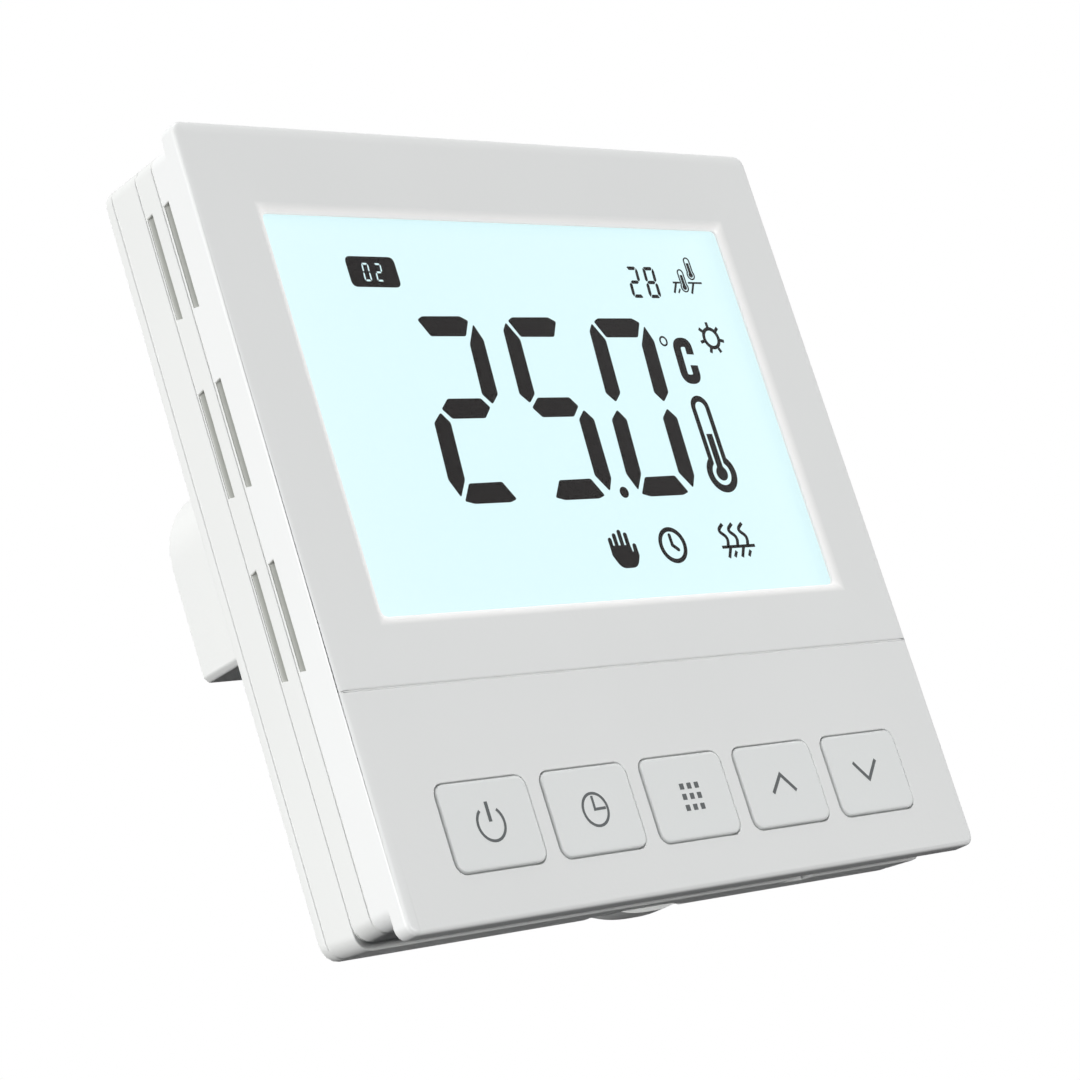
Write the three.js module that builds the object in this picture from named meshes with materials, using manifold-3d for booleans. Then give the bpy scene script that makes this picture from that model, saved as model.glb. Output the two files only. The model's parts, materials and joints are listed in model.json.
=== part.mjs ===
// Wall thermostat for a standard square wall box: a clip-on front panel with a clear display window
// and five keys, over a powered base whose rear box goes into the wall.
//
// Units are millimetres. +Z is up, +X is to the right of someone facing the thermostat, and +Y goes into
// the wall.
// The origin is the centre of the wall plane, where the base's flange rests.
// Inside the two groups, Y is the depth behind the front face, which is easier to read off a section.

import * as THREE from 'three';
import { mergeVertices } from 'three/addons/utils/BufferGeometryUtils.js';
import Module from 'manifold-3d';

const wasm = await Module();
wasm.setup();

// ---------------------------------------------------------------------------------------------------------
// Driving dimensions

// Running and seating clearances
const seatGap = 0.2; // between a piece and the flat that it rests on
const sideGap = 0.2; // round a piece that drops into a pocket
const seamGap = 0.2; // shadow line between two shells
const cutPast = 1; // how far a cutting tool runs past the face it opens

// Mouldings
const wall = 1.5; // side walls of every shell
const faceWall = 1.8; // front wall of the front cover
const innerCorner = 1; // inside corner radius of the shells
const bossRadius = 1.8;
const bossWallGap = 0.3;
const pilotRadius = 0.85; // hole that a self-tapping screw cuts its thread in
const pilotFloor = 1; // plastic left under a pilot hole

// Display stack, from the front face inwards
const windowWidth = 68.4;
const windowHeight = 44.1;
const windowCorner = 0.6;
const bevelWidth = 1;
const bevelDepth = 0.5;
const lensLedge = 0.3; // lip of the cover in front of the lens
const lensBorder = 1.8; // how far the lens reaches behind the cover, past the opening
const glassBorder = 2; // how far the display glass reaches past the opening
const contactLedge = 2.2; // strip of display glass below the light guide, for the contacts
const glassThickness = 1.3;
const guideThickness = 1.3;
const trayWall = 1;
const trayFloor = 0.35;
const boardThickness = 1;
const boardSideGap = 0.5;
const boardLipGap = 0.6; // to the frame's locating lips

// Front face
const windowTopMargin = 9.9; // top of the face to the opening
const windowToKeys = 17.7; // opening to the tops of the keys
const keyBottomMargin = 5.2; // bottoms of the keys to the bottom of the face
const creaseBelowWindow = 7.4; // thin line between the display field and the key field
const creaseWidth = 0.3;
const creaseDepth = 0.15;

// Shells, front to back
const plateDepth = 2.2; // the square face stands proud of the body behind it
const plateCorner = 1.3;
const plateEdge = 0.5; // soft front edge of the face
const bodyOverhang = 1.6; // face past the body at the top and the bottom
const bodyCorner = 1.9;
const coverDepth = 4.8;
const frameDepth = 2.7;
const baseCoverDepth = 4;
const baseFront = 1.4; // front wall of the base cover
const flangeThickness = 1.2;
const baseLip = 0.8; // ledge of the base past the frame, at the bottom
const baseDraft = 0.5; // rise of the base's underside, from its front edge to the wall

// Keys
const keyCount = 5;
const keyRowInset = 0.4; // ends of the row, inside the window's bevelled rim
const keyHeight = 9.1;
const keyCorner = 1.2;
const keyEdge = 0.4;
const keyGap = 2.15; // between neighbouring keys
const keyProud = 0.2;
const keySlot = 0.15; // round each key, in the face
const keyTravel = 0.35;
const keyFlange = 0.7; // retaining rim behind the face
const keyFlangeThickness = 0.7;
const keyFlangePlay = 0.3; // face to rim
const keyStemRadius = 1.4;
const keyStemLength = 0.4;
const switchSize = 6;
const switchHeight = 1.4;
const switchCorner = 0.8;
const switchFloor = 0.25;
const plungerRadius = 1.4;
const plungerEdge = 0.3;

// Vents: slots along the rear edges of the front cover and the frame, on both sides
const ventCount = 3;
const ventLength = 11.65; // along the front edge of a slot
const ventFlare = 0.25; // how far each end draws in towards the rear edge
const ventPitch = 19.45;
const ventWidth = 1;
const ventMargin = 5.65; // top of the body to the top slot
const ventStep = 0.1; // depth at the rear edge, where the floor starts to slope inwards at 45 degrees
const ventSlit = 0.35; // what goes right through the wall, along the front edge

// Fixing to the wall box
const fixingPitch = 60;
const slotWidth = 4.5;
const slotLength = 9;
const wellRadius = 4.6; // recess for the head of a fixing screw
const wellWall = 1.3;
const wellFloorThickness = 1.2;

// Rear box: a deep chamber above, and a shallower bay below it that leaves the terminals open
const slotToBox = 2.5;
const boxWall = 1.6;
const boxDepth = 26.7; // behind the wall plane
const boxTop = 18.4;
const boxStep = -4; // where the deep chamber ends
const boxTopRadius = 9;
const boxCorner = 0.6;
const bayDepth = 13.9; // behind the wall plane
const bayBottom = -22;

// Power electronics
const powerBoardDepth = 15.5; // behind the front face
const powerBoardThickness = 1.6;
const relaySize = { width: 18.4, depth: 15.8, height: 14.4 };
const transformerSize = { width: 13, depth: 14.5, height: 12 };
const caseCorner = 0.6;
const pinRail = 1.2; // under the transformer's core
const coreLeg = 1.7;
const coreWindow = 2.6;
const coreYoke = 2.6;
const bobbinEnd = 1.2; // winding past the core, at each end
const capacitorRadius = 3.5;
const capacitorLength = 13;
const capacitorCrimp = 1.2; // board to the groove round the can
const crimpDepth = 0.35;
const filmSize = { width: 7, depth: 9, height: 4 };
const varistorRadius = 3.4;
const varistorThickness = 2.4;
const varistorFromWall = 8;
const varistorLift = 1;
const leadRadius = 0.35;
const leadPitch = 3.6;
const componentGap = 1.4;
const boardEdgeGap = 0.6;
const terminalCount = 6;
const terminalSideGap = 1.15;
const terminalHeight = 12; // along Z
const terminalDepth = 10; // along Y
const mouthSize = 4.3;
const mouthDepth = 6;
const mouthFront = 2.3; // board to the near side of a mouth
const clampWall = 0.3; // between a mouth and the well of its screw
const terminalEdge = 1.6; // chamfer along the terminals
const terminalScrewRadius = 1.8;
const terminalScrewLength = 2.2;
const driverSlotWidth = 0.6;
const driverSlotDepth = 0.8;

// Plug between the two halves
const plugPins = 8;
const pinPitch = 2.54;
const pinSize = 0.64;
const pinLength = 5.5;
const pinClearance = 0.2;
const pinEndGap = 0.5; // pin tip to the bottom of its hole
const stripWidth = 2.5;
const stripDepth = 1.3;
const plugHeight = 1; // Z of the row of pins
const socketProud = 0.3; // socket short of the base's front face
const socketWall = 0.5;
const socketGap = 0.4; // round the socket, in the base's front wall

// Release tab at the bottom of the base
const tabWidth = 12.6;
const tabThickness = 1.3;
const tabTravel = 0.8;
const tabEar = 1.6;
const earHeight = 0.9;
const noseInset = 1;
const noseHeight = 0.9;
const noseLength = 1.1; // nose past the back of the frame
const catchDepth = 0.6; // pocket in the frame's bottom wall
const bulgeSag = 1.05;
const bulgeDepth = 2.5;

// Screws that hold the shells together
const panelHeadRadius = 1.6;
const panelHeadHeight = 0.6;
const shankRadius = 0.65;
const panelShankLength = 4.2;
const headRecess = 0.7; // depth of the pocket for a head in the frame's ears
const earThickness = 1;
const earReach = 0.4; // ear past its boss
const earHalfHeight = 2.4;
const baseScrewInset = 2.9; // inside corner of the base to a screw
const baseHeadRadius = 1.9;
const countersink = 0.25; // clearance round a countersunk head
const coneStart = 0.35; // flange's front face to the narrow end of the cone
const sunkHead = 0.05; // head below the flange's rear face
const basePostRadius = 2.4;
const boardPostRadius = 1.2;
const boardPostInset = 2.6;

// Lips, tongues and rails
const lipHeight = 1; // frame's locating lip inside the cover
const lipThickness = 0.8;
const lipEndGap = 10; // side of the face to the end of a lip
const lipRoot = 0.25; // thickness of the web that joins a lip to the frame
const tongueWidth = 8;
const tongueThickness = 1.4;
const tongueFromEdge = 20.5; // side of the face to a tongue's centre
const railDepth = 1.5;
const railReach = 1.1;
const railBottom = -6;
const railTop = 8;
const pryWidth = 4;
const pryDepth = 1.6;
const pryFromEdge = 21.4; // side of the face to the pry notch's centre
const pryFloor = 0.6;

// Small parts on the display board
const cellRadius = 4.75;
const cellThickness = 2.4;
const cellStep = 0.6; // shoulder between the cell's cap and its can
const holderWall = 0.5;
const holderFloor = 0.25;
const holderHeight = 2;
const chipSize = 9;
const chipHeight = 1;
const chipFromEdge = 27; // side of the face to the chip's centre
const chipBelowTop = 21; // top of the face to the chip's centre
const cellFromEdge = 23;
const sensorRadius = 0.9;
const sensorLeg = 0.2;
const lampWidth = 1.6;
const lampHeight = 4;
const contactWidth = 1.6; // the contact strip, along Z
const contactEndGap = 2;

// ---------------------------------------------------------------------------------------------------------
// Sizes that follow

const lensDepth = bevelDepth + lensLedge;
const lensThickness = faceWall - lensDepth - seatGap / 2;
const glassFront = faceWall + seatGap;
const guideFront = glassFront + glassThickness + seatGap;
const trayFloorFront = guideFront + guideThickness + seatGap / 2;
const boardFront = trayFloorFront + trayFloor + seatGap;
const boardBack = boardFront + boardThickness;

const glassWidth = windowWidth + 2 * glassBorder;
const trayWidth = glassWidth + 2 * (sideGap + trayWall);
const bossX = trayWidth / 2 + sideGap + bossRadius;
const faceWidth = 2 * (bossX + bossRadius + bossWallGap + wall);
const faceHeight = windowTopMargin + windowHeight + windowToKeys + keyHeight + keyBottomMargin;
const windowZ = faceHeight / 2 - windowTopMargin - windowHeight / 2;
const windowBottom = windowZ - windowHeight / 2;
const keyZ = -faceHeight / 2 + keyBottomMargin + keyHeight / 2;
const keyRow = windowWidth + 2 * (bevelWidth - keyRowInset);
const keyWidth = (keyRow - (keyCount - 1) * keyGap) / keyCount;
const keyPitch = keyWidth + keyGap;
const creaseZ = windowBottom - creaseBelowWindow;

const bodyHeight = faceHeight - 2 * bodyOverhang;
const bodyInside = bodyHeight / 2 - wall;
const bodyInsideX = faceWidth / 2 - wall;
const frameFront = coverDepth + seamGap;
const frameBack = frameFront + frameDepth;
const baseCoverFront = frameBack + seamGap;
const baseCoverBack = baseCoverFront + baseCoverDepth;
const flangeFront = baseCoverBack + seamGap;
const unitDepth = flangeFront + flangeThickness;
const baseHeight = bodyHeight + baseLip;
const baseZ = -baseLip / 2;
const baseBottom = baseZ - baseHeight / 2;

const glassTop = windowZ + windowHeight / 2 + glassBorder;
const glassBottom = windowBottom - glassBorder - contactLedge;
const trayTop = glassTop + sideGap + trayWall;
const trayBottom = glassBottom - sideGap - trayWall;
const guideWidth = windowWidth + glassBorder;
const guideTop = glassTop - glassBorder / 2;
const guideBottom = windowBottom - glassBorder / 2;

const keyRimFront = faceWall + keyFlangePlay;
const keyRimBack = keyRimFront + keyFlangeThickness;
const keyStemBack = keyRimBack + keyStemLength;

// The screws stand between the top two vents and below the bottom one.
const ventTop = bodyHeight / 2 - ventMargin - ventLength / 2;
const bossZ = [ventTop - ventPitch / 2, ventTop - (ventCount - 0.5) * ventPitch];

const boxWidth = fixingPitch - slotWidth - 2 * slotToBox;
const boxInsideX = boxWidth / 2 - boxWall;
const boxBack = unitDepth + boxDepth;
const bayBack = unitDepth + bayDepth;
const powerBoardBack = powerBoardDepth + powerBoardThickness;
const componentFront = powerBoardBack + seatGap;
const terminalPitch = (2 * boxInsideX - 2 * terminalSideGap) / terminalCount;
const terminalWidth = terminalPitch * terminalCount;
const terminalBottom = bayBottom + boxWall + seatGap;
const terminalTop = terminalBottom + terminalHeight;
const terminalFront = powerBoardBack + seatGap;
const terminalBack = terminalFront + terminalDepth;
const baseInside = baseCoverFront + baseFront;
const noseFront = frameBack - noseLength;
const noseTop = -bodyInside + sideGap + noseHeight;

// ---------------------------------------------------------------------------------------------------------
// Outlines, in X and Z

function rectangle(width, height, x = 0, z = 0) {
  const outline = new THREE.Shape();
  outline.moveTo(x - width / 2, z - height / 2);
  outline.lineTo(x + width / 2, z - height / 2);
  outline.lineTo(x + width / 2, z + height / 2);
  outline.lineTo(x - width / 2, z + height / 2);
  outline.closePath();
  return outline;
}

function roundedRectangle(width, height, radius, x = 0, z = 0) {
  const outline = new THREE.Shape();
  const right = x + width / 2 - radius;
  const left = x - width / 2 + radius;
  const top = z + height / 2 - radius;
  const bottom = z - height / 2 + radius;
  outline.absarc(right, top, radius, 0, Math.PI / 2);
  outline.absarc(left, top, radius, Math.PI / 2, Math.PI);
  outline.absarc(left, bottom, radius, Math.PI, 1.5 * Math.PI);
  outline.absarc(right, bottom, radius, 1.5 * Math.PI, 2 * Math.PI);
  outline.closePath();
  return outline;
}

// The deep chamber, with a flat bottom and large top corners, drawn `inset` inside its outer face.
function chamberOutline(inset, bottom = boxStep + inset) {
  const outline = new THREE.Shape();
  const half = boxWidth / 2 - inset;
  const top = boxTop - inset;
  const radius = boxTopRadius - inset;
  outline.moveTo(-half, bottom + boxCorner);
  outline.lineTo(-half + boxCorner, bottom);
  outline.lineTo(half - boxCorner, bottom);
  outline.lineTo(half, bottom + boxCorner);
  outline.absarc(half - radius, top - radius, radius, 0, Math.PI / 2);
  outline.absarc(-half + radius, top - radius, radius, Math.PI / 2, Math.PI);
  outline.closePath();
  return outline;
}

// A vent seen from the side, in depth and Z.
function ventOutline(rearEdge) {
  const half = (depth) => ventLength / 2 - (ventFlare * (depth - rearEdge + ventWidth)) / ventWidth;
  const front = rearEdge - ventWidth - cutPast;
  const rear = rearEdge + cutPast;
  const outline = new THREE.Shape();
  outline.moveTo(front, -half(front));
  outline.lineTo(front, half(front));
  outline.lineTo(rear, half(rear));
  outline.lineTo(rear, -half(rear));
  outline.closePath();
  return outline;
}

// The same vent seen from above, in X and depth: the sloping floor, then the slit.
function ventProfile(rearEdge) {
  const front = rearEdge - ventWidth;
  const slope = rearEdge + ventStep - faceWidth / 2; // depth less X, all along the floor
  const outside = faceWidth / 2 + cutPast;
  const inside = faceWidth / 2 - wall - bossWallGap;
  const profile = new THREE.Shape();
  profile.moveTo(outside, front);
  profile.lineTo(outside, slope + outside);
  profile.lineTo(front + ventSlit - slope, front + ventSlit);
  profile.lineTo(inside, front + ventSlit);
  profile.lineTo(inside, front);
  profile.closePath();
  return profile;
}

// ---------------------------------------------------------------------------------------------------------
// Solids

function solidFrom(geometry) {
  const bare = geometry.clone();
  bare.deleteAttribute('normal');
  bare.deleteAttribute('uv');
  const merged = mergeVertices(bare, 1e-4);
  return new wasm.Manifold(
    new wasm.Mesh({
      numProp: 3,
      vertProperties: merged.attributes.position.array,
      triVerts: new Uint32Array(merged.index.array),
    }),
  );
}

function geometryFrom(solid) {
  const { vertProperties, triVerts } = solid.getMesh();
  const geometry = new THREE.BufferGeometry();
  geometry.setAttribute('position', new THREE.BufferAttribute(vertProperties, 3));
  geometry.setIndex(new THREE.BufferAttribute(triVerts, 1));
  return geometry;
}

// An outline in X and Z carried from one depth to another.
function slab(outline, front, back, arcSteps = 2) {
  const options = { depth: back - front, bevelEnabled: false, curveSegments: arcSteps };
  const geometry = new THREE.ExtrudeGeometry(outline, options);
  geometry.rotateX(Math.PI / 2);
  geometry.translate(0, back, 0);
  return solidFrom(geometry);
}

// The same, with its front edges rounded.
function softSlab(outline, front, back, edge, edgeSteps = 3, arcSteps = 2) {
  const geometry = new THREE.ExtrudeGeometry(outline, {
    depth: back - front,
    bevelEnabled: true,
    bevelThickness: edge,
    bevelSize: edge,
    bevelOffset: -edge,
    bevelSegments: edgeSteps,
    curveSegments: arcSteps,
  });
  geometry.rotateX(Math.PI / 2);
  geometry.translate(0, back + edge, 0);
  geometry.computeBoundingBox();
  const { min, max } = geometry.boundingBox;
  const width = [min.x - cutPast, max.x + cutPast];
  const height = [min.z - cutPast, max.z + cutPast];
  return solidFrom(geometry).subtract(block(width, [back, max.y + cutPast], height));
}

function block([left, right], [front, back], [bottom, top]) {
  const geometry = new THREE.BoxGeometry(right - left, back - front, top - bottom);
  geometry.translate((left + right) / 2, (front + back) / 2, (bottom + top) / 2);
  return solidFrom(geometry);
}

// A block centred on x and z.
function blockAt(x, z, width, height, front, back) {
  return block([x - width / 2, x + width / 2], [front, back], [z - height / 2, z + height / 2]);
}

// A round post or hole along Y.
function post(radius, front, back, x = 0, z = 0, sides = 20) {
  const geometry = new THREE.CylinderGeometry(radius, radius, back - front, sides);
  geometry.translate(x, (front + back) / 2, z);
  return solidFrom(geometry);
}

// A profile of [radius, depth] points turned about Y.
function turned(profile, sides = 16) {
  const points = profile.map(([radius, depth]) => new THREE.Vector2(radius, depth));
  return new THREE.LatheGeometry(points, sides);
}

function joined(solids) {
  return solids.reduce((whole, next) => whole.add(next));
}

function cutFrom(solid, tools) {
  return tools.reduce((left, tool) => left.subtract(tool), solid);
}

function spread(count, pitch) {
  return Array.from({ length: count }, (_, i) => (i - (count - 1) / 2) * pitch);
}

const bossPlaces = [-1, 1].flatMap((side) => bossZ.map((z) => [side * bossX, z]));
const keyX = spread(keyCount, keyPitch);
const fixingX = [-fixingPitch / 2, fixingPitch / 2];

// The vents of one shell, in both of its side walls.
function ventTools(rearEdge) {
  const across = new THREE.ExtrudeGeometry(ventOutline(rearEdge), { depth: faceWidth, bevelEnabled: false });
  // The outline's first axis becomes depth and its second stays up, so this one runs along X.
  const turn = new THREE.Matrix4().makeBasis(
    new THREE.Vector3(0, 1, 0),
    new THREE.Vector3(0, 0, 1),
    new THREE.Vector3(1, 0, 0),
  );
  across.applyMatrix4(turn);
  const upright = new THREE.ExtrudeGeometry(ventProfile(rearEdge), {
    depth: 2 * ventLength,
    bevelEnabled: false,
  });
  upright.translate(0, 0, -ventLength);
  const slot = solidFrom(across).intersect(solidFrom(upright));
  const tools = [];
  for (let row = 0; row < ventCount; row += 1) {
    const placed = slot.translate([0, 0, ventTop - row * ventPitch]);
    tools.push(placed, placed.mirror([1, 0, 0]));
  }
  return tools;
}

// ---------------------------------------------------------------------------------------------------------
// Front panel

function frontCover() {
  const face = softSlab(roundedRectangle(faceWidth, faceHeight, plateCorner), 0, plateDepth, plateEdge);
  const body = slab(roundedRectangle(faceWidth, bodyHeight, bodyCorner), plateDepth / 2, coverDepth);
  const hollow = slab(
    roundedRectangle(faceWidth - 2 * wall, bodyHeight - 2 * wall, innerCorner),
    faceWall,
    coverDepth + cutPast,
  );
  const shell = face.add(body).subtract(hollow);

  const bosses = bossPlaces.map(([x, z]) => post(bossRadius, faceWall - seatGap, boardBack, x, z, 16));
  const pilots = bossPlaces.map(([x, z]) =>
    post(pilotRadius, faceWall + pilotFloor, boardBack + cutPast, x, z, 10),
  );

  // Starts as far in front of the face as it ends behind it, so the face cuts it halfway down the slope.
  const widest = roundedRectangle(
    windowWidth + 4 * bevelWidth,
    windowHeight + 4 * bevelWidth,
    windowCorner + 2 * bevelWidth,
    0,
    windowZ,
  );
  const bevel = new THREE.ExtrudeGeometry(widest, {
    depth: faceWall,
    bevelEnabled: true,
    bevelThickness: 2 * bevelDepth,
    bevelSize: -2 * bevelWidth,
    bevelSegments: 1,
    curveSegments: 2,
  });
  bevel.rotateX(Math.PI / 2);
  bevel.translate(0, bevelDepth + faceWall, 0);
  const straightPart = block([-faceWidth, faceWidth], [-faceWall, faceWall], [-faceHeight, faceHeight]);
  const lensPocket = slab(
    rectangle(
      windowWidth + 2 * (lensBorder + sideGap),
      windowHeight + 2 * (lensBorder + sideGap),
      0,
      windowZ,
    ),
    lensDepth,
    faceWall + cutPast,
  );

  const keyHoles = keyX.map((x) =>
    slab(
      roundedRectangle(keyWidth + 2 * keySlot, keyHeight + 2 * keySlot, keyCorner + keySlot, x, keyZ),
      -cutPast,
      faceWall + cutPast,
    ),
  );

  const crease = new THREE.Shape();
  crease.moveTo(-creaseDepth, creaseZ + creaseWidth);
  crease.lineTo(-creaseDepth, creaseZ - creaseWidth);
  crease.lineTo(creaseDepth, creaseZ);
  crease.closePath();
  const groove = new THREE.ExtrudeGeometry(crease, { depth: faceWidth + 2 * cutPast, bevelEnabled: false });
  groove.applyMatrix4(
    new THREE.Matrix4().makeBasis(
      new THREE.Vector3(0, 1, 0),
      new THREE.Vector3(0, 0, 1),
      new THREE.Vector3(1, 0, 0),
    ),
  );
  groove.translate(-faceWidth / 2 - cutPast, 0, 0);

  return cutFrom(joined([shell, ...bosses]), [
    ...pilots,
    solidFrom(bevel).intersect(straightPart),
    lensPocket,
    ...keyHoles,
    solidFrom(groove),
    ...ventTools(coverDepth),
  ]);
}

function displayWindow() {
  const outline = rectangle(windowWidth + 2 * lensBorder, windowHeight + 2 * lensBorder, 0, windowZ);
  return slab(outline, lensDepth + seatGap / 2, lensDepth + seatGap / 2 + lensThickness);
}

function displayGlass() {
  const depths = [glassFront, glassFront + glassThickness];
  return block([-glassWidth / 2, glassWidth / 2], depths, [glassBottom, glassTop]);
}

function lightGuide() {
  const depths = [guideFront, guideFront + guideThickness];
  return block([-guideWidth / 2, guideWidth / 2], depths, [guideBottom, guideTop]);
}

const lampX = guideWidth / 2 + sideGap + lampWidth / 2;
const contactZ = (glassBottom + guideBottom) / 2;

function displayTray() {
  const depths = [glassFront, trayFloorFront + trayFloor];
  const tray = block([-trayWidth / 2, trayWidth / 2], depths, [trayBottom, trayTop]);
  const glassPocket = block(
    [-glassWidth / 2 - sideGap, glassWidth / 2 + sideGap],
    [glassFront - cutPast, guideFront],
    [glassBottom - sideGap, glassTop + sideGap],
  );
  const guidePocket = block(
    [-guideWidth / 2 - sideGap, guideWidth / 2 + sideGap],
    [glassFront, trayFloorFront],
    [guideBottom - sideGap, guideTop + sideGap],
  );
  const lampPockets = [-1, 1].map((side) =>
    blockAt(side * lampX, windowZ, lampWidth + 2 * sideGap, lampHeight + 2 * sideGap, glassFront, boardFront),
  );
  const contactPocket = blockAt(0, contactZ, windowWidth, contactWidth + 2 * sideGap, glassFront, boardFront);
  return cutFrom(tray, [glassPocket, guidePocket, ...lampPockets, contactPocket]);
}

function backlightLamp(side) {
  return blockAt(side * lampX, windowZ, lampWidth, lampHeight, guideFront, boardFront - seatGap / 2);
}

function contactStrip() {
  const width = windowWidth - 2 * contactEndGap;
  return blockAt(0, contactZ, width, contactWidth, guideFront, boardFront - seatGap / 2);
}

function displayBoard() {
  const sheet = slab(
    roundedRectangle(
      2 * (bodyInsideX - boardSideGap),
      2 * (bodyInside - seatGap - lipThickness - boardLipGap),
      innerCorner,
    ),
    boardFront,
    boardBack,
  );
  const bossClearance = bossPlaces.map(([x, z]) =>
    post(bossRadius + 2 * sideGap, boardFront - cutPast, boardBack + cutPast, x, z, 16),
  );
  return cutFrom(sheet, bossClearance);
}

const earFront = boardBack + seatGap;
const earBack = earFront + earThickness;

function middleFrame() {
  const outer = slab(roundedRectangle(faceWidth, bodyHeight, bodyCorner), frameFront, frameBack);
  const inner = slab(
    roundedRectangle(faceWidth - 2 * wall, bodyHeight - 2 * wall, innerCorner),
    frameFront - cutPast,
    frameBack + cutPast,
  );
  const ears = bossPlaces.map(([x, z]) => {
    const side = Math.sign(x);
    const near = x - side * (bossRadius + earReach);
    const far = side * (faceWidth / 2 - wall / 2);
    const width = [near, far].sort((a, b) => a - b);
    return block(width, [earFront, earBack], [z - earHalfHeight, z + earHalfHeight]);
  });
  const holes = bossPlaces.map(([x, z]) =>
    post(shankRadius + sideGap, earFront - cutPast, frameBack, x, z, 10),
  );
  const counterbores = bossPlaces.map(([x, z]) =>
    post(panelHeadRadius + sideGap, earBack - headRecess, frameBack, x, z, 16),
  );
  const lips = [-1, 1].map((side) => {
    const outside = side * (bodyInside - seatGap);
    const inside = outside - side * lipThickness;
    const lip = [inside, outside].sort((a, b) => a - b);
    const root = [inside, side * (bodyInside + wall / 4)].sort((a, b) => a - b);
    const reach = faceWidth / 2 - lipEndGap;
    return block([-reach, reach], [frameFront - lipHeight, frameFront + lipRoot], lip).add(
      block([-reach, reach], [frameFront, frameFront + lipRoot], root),
    );
  });
  const catchPocket = block(
    [-tabWidth / 2, tabWidth / 2],
    [noseFront - noseLength, noseFront - sideGap + noseLength / 2],
    [-bodyInside - catchDepth, -bodyInside + cutPast / 2],
  );
  return cutFrom(joined([outer.subtract(inner), ...ears, ...lips]), [
    ...holes,
    ...counterbores,
    catchPocket,
    ...ventTools(frameBack),
  ]);
}

// Pan-head screw with its tip towards the front, measured from under its head.
function panelScrew() {
  return turned([
    [0, -panelShankLength],
    [shankRadius / 2, -panelShankLength],
    [shankRadius, -panelShankLength + shankRadius],
    [shankRadius, 0],
    [panelHeadRadius, 0],
    [panelHeadRadius, panelHeadHeight / 2],
    [panelHeadRadius - panelHeadHeight / 2, panelHeadHeight],
    [0, panelHeadHeight],
  ], 12);
}

function keyCap() {
  const outline = roundedRectangle(keyWidth, keyHeight, keyCorner);
  const cap = softSlab(outline, -keyProud, (keyRimFront + keyRimBack) / 2, keyEdge);
  const rim = slab(
    roundedRectangle(keyWidth + 2 * keyFlange, keyHeight + 2 * keyFlange, keyCorner),
    keyRimFront,
    keyRimBack,
  );
  const stem = post(keyStemRadius, (keyRimFront + keyRimBack) / 2, keyStemBack, 0, 0, 16);
  return joined([cap, rim, stem]);
}

const switchBack = boardFront - seatGap;
const switchFront = switchBack - switchHeight;
const plungerFront = keyStemBack + seatGap;
const plungerBack = switchBack - switchFloor - keyTravel - seatGap / 2;

function tactSwitch() {
  const body = slab(roundedRectangle(switchSize, switchSize, switchCorner), switchFront, switchBack, 1);
  const bore = post(plungerRadius + sideGap, switchFront - cutPast, switchBack - switchFloor, 0, 0, 16);
  return body.subtract(bore);
}

function plunger() {
  return turned([
    [0, plungerFront],
    [plungerRadius - plungerEdge, plungerFront],
    [plungerRadius, plungerFront + plungerEdge],
    [plungerRadius, plungerBack],
    [0, plungerBack],
  ]);
}

function controllerChip() {
  const front = boardBack + seatGap / 2;
  return blockAt(0, 0, chipSize, chipSize, front, front + chipHeight);
}

function coinCell() {
  const back = boardFront - seatGap / 2 - holderFloor - seatGap / 2;
  const front = back - cellThickness;
  return turned([
    [0, front],
    [cellRadius - cellStep, front],
    [cellRadius - cellStep, front + cellStep / 2],
    [cellRadius, front + cellStep],
    [cellRadius, back],
    [0, back],
  ], 24);
}

// A shallow cup on the board, with a spring strap's gap at one side.
function cellHolder() {
  const back = boardFront - seatGap / 2;
  const front = back - holderHeight;
  const cup = post(cellRadius + sideGap + holderWall, front, back, 0, 0, 24);
  const pocket = post(cellRadius + sideGap, front - cutPast, back - holderFloor, 0, 0, 24);
  const gap = blockAt(0, -cellRadius, cellRadius, cellRadius, front - cutPast, back - 2 * holderFloor);
  return cutFrom(cup, [pocket, gap]);
}

// Bead thermistor standing on two legs behind a side vent.
function airSensor() {
  const back = boardFront - seatGap / 2;
  const bead = new THREE.SphereGeometry(sensorRadius, 12, 8);
  bead.translate(0, coverDepth - ventWidth, 0);
  const legs = [-1, 1].map((side) =>
    post(sensorLeg, coverDepth - ventWidth, back, 0, (side * sensorRadius) / 2, 6),
  );
  return joined([solidFrom(bead), ...legs]);
}

const pinTip = boardBack + seatGap / 2 + stripDepth + pinLength;

function panelPlug() {
  const front = boardBack + seatGap / 2;
  const strip = blockAt(0, 0, pinPitch * plugPins, stripWidth, front, front + stripDepth);
  const pins = spread(plugPins, pinPitch).map((x) =>
    blockAt(x, 0, pinSize, pinSize, front + stripDepth / 2, pinTip),
  );
  return joined([strip, ...pins]);
}

// ---------------------------------------------------------------------------------------------------------
// Base

const tabOpening = tabWidth / 2 + sideGap;
const tabTop = baseBottom + wall;
const tabBack = baseCoverBack - seatGap / 2;
const wellFloor = baseCoverBack - wellFloorThickness;
const socketFront = baseCoverFront + socketProud;
const socketWidth = pinPitch * plugPins + socketWall;
const socketHeight = stripWidth + socketWall;

// The base's underside rises towards the wall, and its height shrinks in proportion.
function drafted(solid) {
  return solid.warp((point) => {
    const share = (point[1] - baseCoverFront) / (unitDepth - baseCoverFront);
    point[2] += (baseDraft * share * (bodyHeight / 2 - point[2])) / baseHeight;
  });
}

function baseOutline() {
  return roundedRectangle(faceWidth, baseHeight, bodyCorner, 0, baseZ);
}

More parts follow.
